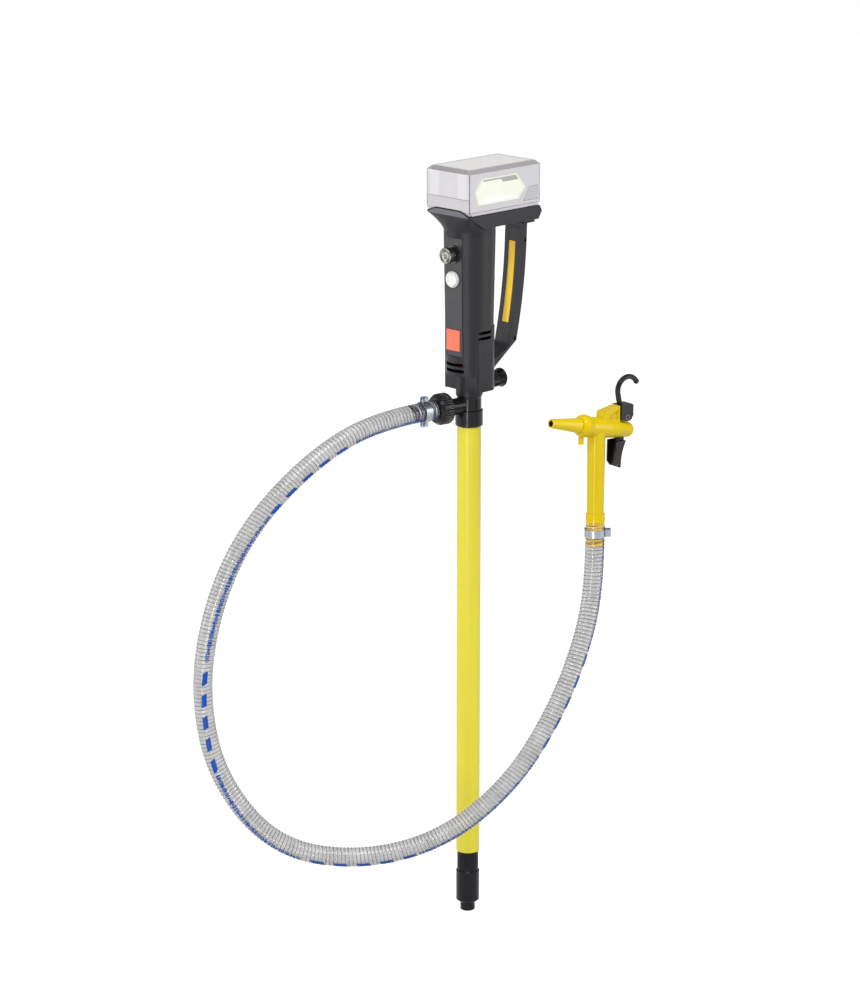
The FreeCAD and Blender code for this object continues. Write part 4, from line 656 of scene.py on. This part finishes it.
# ---- housing ----------------------------------------------------------------------------------
# Two shells of dark grey glass-filled nylon, left and right, screwed together: the column, the
# lower block and the closed handle.  The tool's grain is fine and even, and the edges are soft.
HOUSING_GREY = (0.0200, 0.0190, 0.0235, 1)
housing_grey = moulded("housing_nylon", HOUSING_GREY, 0.38, grain=2200.0, depth=0.00007,
                       edge=0.0007, drift=0.08, gloss=0.22, pale=1.6)
dress(housing_grey, "housing_left", "housing_right", "battery_deck")
dress(turned_steel("black_screw", (0.10, 0.10, 0.11, 1), 0.34), "housing_screws", "hook_bolt")
dress(moulded("panel_grey", (0.042, 0.039, 0.043, 1), 0.34, grain=1900.0, depth=0.00005,
              edge=0.0005, drift=0.06, gloss=0.30), "control_panel")
dress(moulded("grip_amber", (1.0, 0.63, 0.030, 1), 0.42, grain=1500.0, depth=0.00016, edge=0.0004,
              drift=0.05, gloss=0.3, pale=0.05), "grip_insert")
dress(moulded("badge_orange", (0.90, 0.155, 0.065, 1), 0.30, grain=900.0, depth=0.00003, edge=0.0003,
              drift=0.04, pale=0.1), "badge_plate")

# ---- controls ---------------------------------------------------------------------------------
# A black speed knob with the white power button under it.  The switch, the potentiometer and the
# green control board are behind them, inside the column.
dress(moulded("control_black", (0.0075, 0.0075, 0.0085, 1), 0.26, edge=0.0004, pale=2.5), "knob_base",
      "speed_knob", "switch_body", "potentiometer")
dress(moulded("button_white", (0.90, 0.89, 0.88, 1), 0.22, grain=800.0, depth=0.00002, edge=0.0008,
              drift=0.03), "power_button")
dress(moulded("button_rim", (0.70, 0.69, 0.69, 1), 0.26, grain=800.0, depth=0.00002, edge=0.0008,
              drift=0.03), "button_ring")
dress(moulded("board_green", (0.015, 0.11, 0.045, 1), 0.34, grain=1200.0), "control_board")

# ---- knob cap ---------------------------------------------------------------------------------
# A spun aluminium disc glued on the speed knob: a raised bright rim, a shallow dish and a small
# centre, with marks running out from the middle and soft sectors of painted reflection.  The piece is
# open underneath.
KNOB_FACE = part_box("speed_knob")[0].y
KNOB_LEVEL = 0.233
KNOB_CENTRE = Vector((0.0, KNOB_FACE, KNOB_LEVEL))
TURNED_STEPS = 72                   # points round a turned piece
SAME_PLACE = 1e-7                   # points nearer than this are the same point
CAP_PROFILE = [(0.0, 0.00025), (0.0016, 0.00030), (0.0019, 0.00005), (0.0081, 0.00045),
               (0.0086, 0.00095), (0.0098, 0.00105), (0.01035, 0.0006), (0.01035, -0.0004)]


def spun(name, outline, centre, way):
    """A turned piece: its outline of (radius, rise) pairs spun about an axis through a centre."""
    mesh = bpy.data.meshes.new(name)
    shape = bmesh.new()
    rim = [shape.verts.new((radius, 0.0, rise)) for radius, rise in outline]
    edges = [shape.edges.new(pair) for pair in zip(rim, rim[1:])]
    bmesh.ops.spin(shape, geom=rim + edges, cent=(0, 0, 0), axis=(0, 0, 1), angle=math.tau,
                   steps=TURNED_STEPS, use_merge=True)
    bmesh.ops.remove_doubles(shape, verts=shape.verts, dist=SAME_PLACE)
    turn = Vector(way).to_track_quat("Z", "Y").to_matrix().to_4x4()
    bmesh.ops.transform(shape, matrix=Matrix.Translation(centre) @ turn, verts=shape.verts)
    bmesh.ops.recalc_face_normals(shape, faces=shape.faces)
    for face in shape.faces:
        face.smooth = True
    shape.to_mesh(mesh)
    shape.free()
    return link_new(name, mesh)


def spun_aluminium():
    """Spun metal: soft sectors of light and dark that are a painted reflection, with fine streaks running
    out from the centre, partly tool marks and partly painted reflection.
    """
    finish, place = with_coordinates("spun_aluminium")
    centred = finish.add("Mapping", {}, {"Vector": place, "Location": tuple(-KNOB_CENTRE)}, "Vector")
    right = finish.add("SeparateXYZ", {}, {"Vector": centred}, "X")
    up = finish.add("SeparateXYZ", {}, {"Vector": centred}, "Z")
    angle = finish.maths("ARCTAN2", up, right)
    # Painted reflection: light and dark sectors round the centre.
    reflection_sectors = finish.maths("SINE", angle * 2.0 + 0.9) + finish.maths("SINE", angle * 5.0 + 2.0) * 0.6
    turned_out = finish.add("VectorMath", {"operation": "NORMALIZE"}, {0: centred}, "Vector")
    streaks = speckle(finish, turned_out, 9.0, 5.0, 0.7)
    shade = finish.maths("ADD", 0.50 + 0.20 * reflection_sectors, 1.2 * (streaks - 0.5), True)
    relief, rounded = grained(finish, turned_out, 30.0, 0.00004, 0.0002, 0.4)
    return finish.close(finish.add("BsdfPrincipled", {}, {
        "Base Color": finish.mixed(shade, (0.060, 0.062, 0.050, 1), (0.36, 0.365, 0.33, 1)),
        "Metallic": 1.0, "Roughness": 0.16 + 0.16 * streaks, "Normal": relief}, "BSDF"))


knob_cap = spun("knob_cap", CAP_PROFILE, KNOB_CENTRE, (0, -1, 0))
knob_cap.data.materials.append(spun_aluminium())
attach(knob_cap, "knob")

# ---- button rings -----------------------------------------------------------------------------
# Three fine raised rings, one inside another, moulded on the power button's face.  They go in
# with the button.
BUTTON_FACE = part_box("power_button")[0].y
BUTTON_LEVEL = 0.200
BUTTON_CENTRE = Vector((0.0, BUTTON_FACE, BUTTON_LEVEL))
BUTTON_RINGS = (("button_ring_outer", 0.0068), ("button_ring_middle", 0.0042),
                ("button_ring_inner", 0.0016))
RING_SECTION = [(-0.00034, -0.0002), (-0.00022, 0.00026), (0.00022, 0.00026), (0.00034, -0.0002),
                (-0.00034, -0.0002)]
# The rings are of the button's white plastic; their grey is painted shade on the raised rings.
ring_shaded_grey = moulded("ring_shaded_grey", (0.58, 0.57, 0.55, 1), 0.26, grain=800.0, depth=0.00002, edge=0.0002,
                     drift=0.03)
for name, radius in BUTTON_RINGS:
    outline = [(radius + out, rise) for out, rise in RING_SECTION]
    raised_ring = spun(name, outline, BUTTON_CENTRE, (0, -1, 0))
    raised_ring.data.materials.append(ring_shaded_grey)
    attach(raised_ring, "button")

# ---- union nut's ribs -------------------------------------------------------------------------
# Fine rounded ribs along the nut that give the fingers their grip.  They are evenly spaced and
# turn with the nut.
NUT_RIBS = 36
NUT_RADIUS = 0.0199
NUT_RIB_HALF = 0.00095
NUT_RIB_LENGTH = 0.0135
NUT_RIB_START = 0.25                # turns the first rib by this share of the ribs' spacing
NUT_RIB_ROUND = 0.0006
NUT_MIDDLE = on_outlet(0.0440)

shape = bmesh.new()
outlet_way = Vector((math.cos(OUTLET_HEADING), math.sin(OUTLET_HEADING), 0.0))
facing = outlet_way.to_track_quat("Z", "Y").to_matrix().to_4x4()
for number in range(NUT_RIBS):
    spread = Matrix.Rotation(math.tau * (number + NUT_RIB_START) / NUT_RIBS, 4, "Z")
    turned = spread @ Matrix.Translation((NUT_RADIUS, 0, 0))
    bmesh.ops.create_cone(shape, cap_ends=True, segments=12, radius1=NUT_RIB_HALF, radius2=NUT_RIB_HALF,
                          depth=NUT_RIB_LENGTH, matrix=Matrix.Translation(NUT_MIDDLE) @ facing @ turned)
rims = [edge for edge in shape.edges if max(len(face.verts) for face in edge.link_faces) > 4]
bmesh.ops.bevel(shape, geom=rims, offset=NUT_RIB_ROUND, segments=2, profile=0.5, affect="EDGES",
                material=-1)
bmesh.ops.recalc_face_normals(shape, faces=shape.faces)
for face in shape.faces:
    face.smooth = True
mesh = bpy.data.meshes.new("nut_ribs")
shape.to_mesh(mesh)
shape.free()
nut_ribs = link_new("nut_ribs", mesh)
nut_ribs.data.materials.append(moulded("rib_black", (0.014, 0.013, 0.016, 1), 0.17, grain=900.0,
                                       depth=0.00001, edge=0.0003, gloss=0.7))
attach(nut_ribs, "union")

# ---- deck and battery -------------------------------------------------------------------------
# Brass blades in a black block on the deck meet the pack's contacts.  The pack's foot, its release
# buttons and its gauge are in greys, its labels are a bare pale green and its cells are blue.
dress(moulded("terminal_black", (0.016, 0.016, 0.017, 1), 0.42), "terminal_block")
dress(turned_steel("tinned_brass", (0.66, 0.58, 0.40, 1), 0.20), "terminal_blades", "battery_contacts")
dress(moulded("pack_foot_pale", (0.520, 0.502, 0.522, 1), 0.36, grain=1800.0, depth=0.00005, edge=0.0010,
              drift=0.03, pale=0.12), "battery_base")
dress(moulded("release_pale", (0.470, 0.460, 0.488, 1), 0.36, edge=0.0006, drift=0.03),
      "release_button_left", "release_button_right")
dress(moulded("label_green", (0.85, 0.87, 0.76, 1), 0.30, grain=600.0, depth=0.00002, edge=0.0002,
              drift=0.02), "battery_labels")
dress(moulded("gauge_grey", (0.30, 0.28, 0.285, 1), 0.30, edge=0.0003, drift=0.04), "battery_gauge")
dress(moulded("cell_wrap", (0.05, 0.22, 0.42, 1), 0.30), "battery_cells")

# ---- battery shell ----------------------------------------------------------------------------
# Pale grey polycarbonate shell.  Its flat top carries a plain white plate inside a thin grey line,
# and the sloped edges round the top are in a darker grey.
PACK_LOW, PACK_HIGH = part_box("battery_cover")
PACK_SLOPE = 0.005
TOP_MARGIN = 0.0016                 # shell left bare round the top plate
TOP_SKIN = 0.0002                   # what is higher than this below the top belongs to the flat top
CORNER_LINE = 0.0009                # width of the dark line down each upright corner
BAND_INNER = 0.0170                 # the paler bands' edges, from the middle of the front and back
BAND_OUTER = 0.0330


def pack_shell():
    """The shell's grey, the sloped edges' darker grey, the white top, two paler bands down the
    front and the back, and a fine dark line down each upright corner."""
    finish, place = with_coordinates("pack_shell")
    across = finish.maths("ABSOLUTE", finish.add("SeparateXYZ", {}, {"Vector": place}, "X"))
    along = finish.maths("ABSOLUTE", finish.add("SeparateXYZ", {}, {"Vector": place}, "Y")
                         - (PACK_LOW.y + PACK_HIGH.y) / 2)
    height = finish.add("SeparateXYZ", {}, {"Vector": place}, "Z")
    side_reach = PACK_HIGH.x - PACK_SLOPE
    end_reach = (PACK_HIGH.y - PACK_LOW.y) / 2 - PACK_SLOPE
    level = height > PACK_HIGH.z - TOP_SKIN
    inside = (across < side_reach - TOP_MARGIN) * (along < end_reach - TOP_MARGIN) * level
    plate = ((across < side_reach - 2 * TOP_MARGIN) * (along < end_reach - 2 * TOP_MARGIN)) * inside
    sloped = (height > PACK_HIGH.z - PACK_SLOPE) * (1.0 - level)
    relief, rounded = grained(finish, place, 1800.0, 0.00004, 0.0007)
    cloud = speckle(finish, place, 40.0, 4.0)
    smear = speckle(finish, place, 260.0, 3.0)
    body = finish.mixed(cloud, (0.545, 0.532, 0.562, 1), (0.600, 0.586, 0.612, 1))
    edged = finish.mixed(sloped, body, (0.330, 0.312, 0.325, 1))
    upright = 1.0 - (height > PACK_HIGH.z - PACK_SLOPE)
    at_end = along > (PACK_HIGH.y - PACK_LOW.y) / 2 - CORNER_LINE
    corner = ((across > PACK_HIGH.x - CORNER_LINE) * at_end) * upright
    band = ((across > BAND_INNER) * (across < BAND_OUTER)) * (at_end * upright)
    edged = finish.mixed(band * 0.45, edged, (0.720, 0.705, 0.735, 1))
    edged = finish.mixed(corner, edged, (0.110, 0.105, 0.120, 1))
    lined = finish.mixed(inside, edged, (0.360, 0.345, 0.350, 1))
    return finish.close(finish.add("BsdfPrincipled", {}, {
        "Base Color": finish.mixed(plate, lined, (0.845, 0.835, 0.825, 1)),
        "Roughness": 0.28 + 0.12 * smear, "IOR": 1.5, "Normal": relief}, "BSDF"))


dress(pack_shell(), "battery_cover")

# ---- battery label ----------------------------------------------------------------------------
# Each side's six-sided panel: a grey bar along its top and a plain white patch near its foot, a
# hair proud.  The bead round its edge has no width, because its frame comes out as a bare outline.
LABEL_CORNERS = [(-0.0300, 0.3180), (-0.0180, 0.3350), (0.0465, 0.3350), (0.0640, 0.3150),
                 (0.0505, 0.3000), (-0.0240, 0.3000)]
LABEL_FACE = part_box("battery_labels")[1].x
SHARP_ANGLE = 0.5                   # an edge that turns more than this, in radians, gets rounded


def side_plate(name, corners, face, thickness, side, frame_width=0.0):
    """A thin plate of (y, z) corners on a side of the battery, or with a frame width, its outline."""
    mesh = bpy.data.meshes.new(name)
    shape = bmesh.new()
    rim = [shape.verts.new((face, y, z)) for y, z in corners]
    plate = shape.faces.new(rim)
    if frame_width:
        bmesh.ops.inset_individual(shape, faces=[plate], thickness=frame_width)
        bmesh.ops.delete(shape, geom=[plate], context="FACES_ONLY")
    made = bmesh.ops.extrude_face_region(shape, geom=list(shape.faces))
    moved = [part for part in made["geom"] if isinstance(part, bmesh.types.BMVert)]
    bmesh.ops.translate(shape, vec=(thickness, 0, 0), verts=moved)
    bmesh.ops.recalc_face_normals(shape, faces=shape.faces)
    rims = [edge for edge in shape.edges
            if all(abs(vert.co.x - face - thickness) < SAME_PLACE for vert in edge.verts)
            and len(edge.link_faces) == 2 and abs(edge.calc_face_angle(0.0)) > SHARP_ANGLE]
    bmesh.ops.bevel(shape, geom=rims, offset=min(0.0002, thickness * 0.6), offset_type="OFFSET",
                    segments=2, profile=0.5, affect="EDGES", material=-1)
    if side < 0:
        bmesh.ops.scale(shape, vec=(-1, 1, 1), verts=shape.verts)
        bmesh.ops.reverse_faces(shape, faces=shape.faces)
    shape.to_mesh(mesh)
    shape.free()
    return link_new(name, mesh)


def shrunk(corners, share):
    """Corners drawn towards their middle."""
    middle_y = sum(y for y, z in corners) / len(corners)
    middle_z = sum(z for y, z in corners) / len(corners)
    return [(middle_y + (y - middle_y) * share, middle_z + (z - middle_z) * share) for y, z in corners]


LABEL_BAR = [(-0.0160, 0.3308), (-0.0145, 0.3328), (0.0450, 0.3328), (0.0500, 0.3265),
             (0.0215, 0.3265), (0.0180, 0.3308)]
LABEL_PATCH = [(-0.0150, 0.3030), (-0.0110, 0.3095), (0.0310, 0.3095), (0.0390, 0.3030)]
bead_green = moulded("bead_green", (0.60, 0.66, 0.30, 1), 0.30, grain=600.0, depth=0.00002,
                     edge=0.0001, drift=0.04)
bar_grey = moulded("bar_grey", (0.36, 0.36, 0.33, 1), 0.30, grain=600.0, depth=0.00002,
                   edge=0.0001, drift=0.04)
patch_white = moulded("patch_white", (0.90, 0.90, 0.88, 1), 0.30, grain=600.0, depth=0.00002, edge=0.0001,
                      drift=0.02)
# Each has its corners, its thickness and its frame's width, which is 0 for a full plate.
LABEL_PIECES = [("label_bead", shrunk(LABEL_CORNERS, 0.955), 0.00020, 0.0007, bead_green),
                ("label_bar", LABEL_BAR, 0.00015, 0.0, bar_grey),
                ("label_patch", LABEL_PATCH, 0.00015, 0.0, patch_white)]
for side, hand in ((-1, "left"), (1, "right")):
    for name, corners, thickness, frame_width, paint in LABEL_PIECES:
        plate = side_plate(f"{name}_{hand}", corners, LABEL_FACE, thickness, side, frame_width)
        plate.data.materials.append(paint)
        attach(plate, "battery")

# ---- battery bumper ---------------------------------------------------------------------------
# A dark rubber strip across the front of the battery's foot.  Its upper edge falls in a curve to
# each corner, and a thin gap runs between it and the shell, filled by a black strip that is a painted
# shadow.
BUMPER_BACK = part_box("battery_base")[0].y - 0.00005
BUMPER_FRONT = BUMPER_BACK - 0.0014
BUMPER_HALF = 0.0377
BUMPER_FOOT = 0.2856
BUMPER_SHOULDER = 0.2892
BUMPER_CREST = 0.2944
BUMPER_LEVEL_HALF = 0.0205          # the upper edge is level up to here, and falls beyond
BUMPER_GAP = 0.0019                 # width of the gap round the rubber, filled by a black strip as painted shadow
BUMPER_STEPS = 40


def bumper_edge(x):
    """The height of the strip's upper edge."""
    fall = min(1.0, max(0.0, (abs(x) - BUMPER_LEVEL_HALF) / (BUMPER_HALF - BUMPER_LEVEL_HALF)))
    return BUMPER_CREST - (BUMPER_CREST - BUMPER_SHOULDER) * fall * fall * (3 - 2 * fall)


def bumper_strip(name, inset, foot, front, back):
    """A strip under the curved edge, as a closed bar with rounded front edges."""
    mesh = bpy.data.meshes.new(name)
    shape = bmesh.new()
    places = [-BUMPER_HALF + inset + 2 * (BUMPER_HALF - inset) * step / BUMPER_STEPS
              for step in range(BUMPER_STEPS + 1)]
    upper = [shape.verts.new((x, back, bumper_edge(x) - inset)) for x in places]
    lower = [shape.verts.new((x, back, foot)) for x in places]
    for one in range(BUMPER_STEPS):
        shape.faces.new((lower[one], lower[one + 1], upper[one + 1], upper[one]))
    made = bmesh.ops.extrude_face_region(shape, geom=list(shape.faces))
    moved = [part for part in made["geom"] if isinstance(part, bmesh.types.BMVert)]
    bmesh.ops.translate(shape, vec=(0, front - back, 0), verts=moved)
    bmesh.ops.recalc_face_normals(shape, faces=shape.faces)
    rims = [edge for edge in shape.edges
            if all(abs(vert.co.y - front) < SAME_PLACE for vert in edge.verts)
            and edge.calc_face_angle(0.0) > SHARP_ANGLE]
    bmesh.ops.bevel(shape, geom=rims, offset=0.0005, offset_type="OFFSET", segments=3, profile=0.5,
                    affect="EDGES", material=-1)
    shape.to_mesh(mesh)
    shape.free()
    return link_new(name, mesh)


battery_bumper = bumper_strip("battery_bumper", BUMPER_GAP, BUMPER_FOOT, BUMPER_FRONT, BUMPER_BACK)
bumper_rubber = moulded("bumper_rubber", (0.105, 0.098, 0.118, 1), 0.42, grain=1600.0,
                        depth=0.00005, edge=0.0004, drift=0.06, pale=0.8)
battery_bumper.data.materials.append(bumper_rubber)
# Painted shadow: a black strip behind the rubber stands for the shade in the gap.
gap_shadow_strip = bumper_strip("gap_shadow_strip", 0.0, BUMPER_FOOT + 0.0002, BUMPER_BACK - 0.0004, BUMPER_BACK)
gap_shadow_strip.data.materials.append(moulded("gap_shadow_black", (0.004, 0.004, 0.004, 1), 0.60, grain=1600.0,
                                         depth=0.00003, edge=0.0002, drift=0.06, pale=0.2))
for piece in (battery_bumper, gap_shadow_strip):
    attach(piece, "battery")

# ---- nozzle -----------------------------------------------------------------------------------
# Glossy yellow plastic with a black trigger under the barrel and a black hook over it.  The
# spout's bore is coloured dark as painted shade, and the valve inside is brass.
NOZZLE_YELLOW = (0.710, 0.518, 0.0003, 1)
nozzle_yellow = moulded("nozzle_yellow", NOZZLE_YELLOW, 0.16, grain=420.0, depth=0.00006,
                        edge=0.0010, drift=0.05, gloss=0.20, pale=0.1)
dress(nozzle_yellow, "nozzle_body", "nozzle_tail")

BARREL_CENTRE = Vector((0.1692, 0.0631, 0.0159))
BARREL_HEADING = math.radians(-97.0)
BARREL_TILT = math.radians(12.0)
BARREL_WAY = Vector((math.cos(BARREL_HEADING) * math.cos(BARREL_TILT),
                     math.sin(BARREL_HEADING) * math.cos(BARREL_TILT), math.sin(BARREL_TILT)))
SPOUT_BORE = 0.0041                 # the painted shade's radius, a little wider than the bore, so that its wall is inside


def spout_yellow():
    """The nozzle's yellow, with the spout's bore coloured near black as painted shade."""
    finish, place = with_coordinates("spout_yellow")
    relief, rounded = grained(finish, place, 420.0, 0.00006, 0.0010)
    cloud = speckle(finish, place, 34.0, 4.0)
    off_centre = finish.add("VectorMath", {"operation": "SUBTRACT"},
                            {0: place, 1: tuple(BARREL_CENTRE)}, "Vector")
    across = finish.add("VectorMath", {"operation": "CROSS_PRODUCT"},
                        {0: off_centre, 1: tuple(BARREL_WAY)}, "Vector")
    distance = finish.add("VectorMath", {"operation": "LENGTH"}, {0: across}, "Value")
    # Painted shade: inside this radius the spout is coloured near black.
    bore_shade = distance < SPOUT_BORE
    light = tuple(part * 1.05 for part in NOZZLE_YELLOW[:3]) + (1,)
    body = finish.mixed(cloud, NOZZLE_YELLOW, light)
    return finish.close(finish.add("BsdfPrincipled", {}, {
        "Base Color": finish.mixed(bore_shade, body, (0.030, 0.012, 0.004, 1)),
        "Roughness": 0.12 + 0.10 * cloud, "IOR": 1.5,
        "Specular IOR Level": 0.20, "Normal": relief}, "BSDF"))


dress(spout_yellow(), "nozzle_spout")
dress(zinc, "nozzle_clamp")
dress(moulded("lever_black", (0.0125, 0.0095, 0.0090, 1), 0.30, grain=1600.0, depth=0.00006, edge=0.0008,
              gloss=0.25, pale=1.0), "trigger", "nozzle_hook")
dress(turned_steel("pin_steel", (0.30, 0.30, 0.31, 1), 0.24), "trigger_pin")
dress(turned_steel("valve_brass", (0.30, 0.20, 0.08, 1), 0.30), "valve_seat", "valve_guide", "valve_stem")
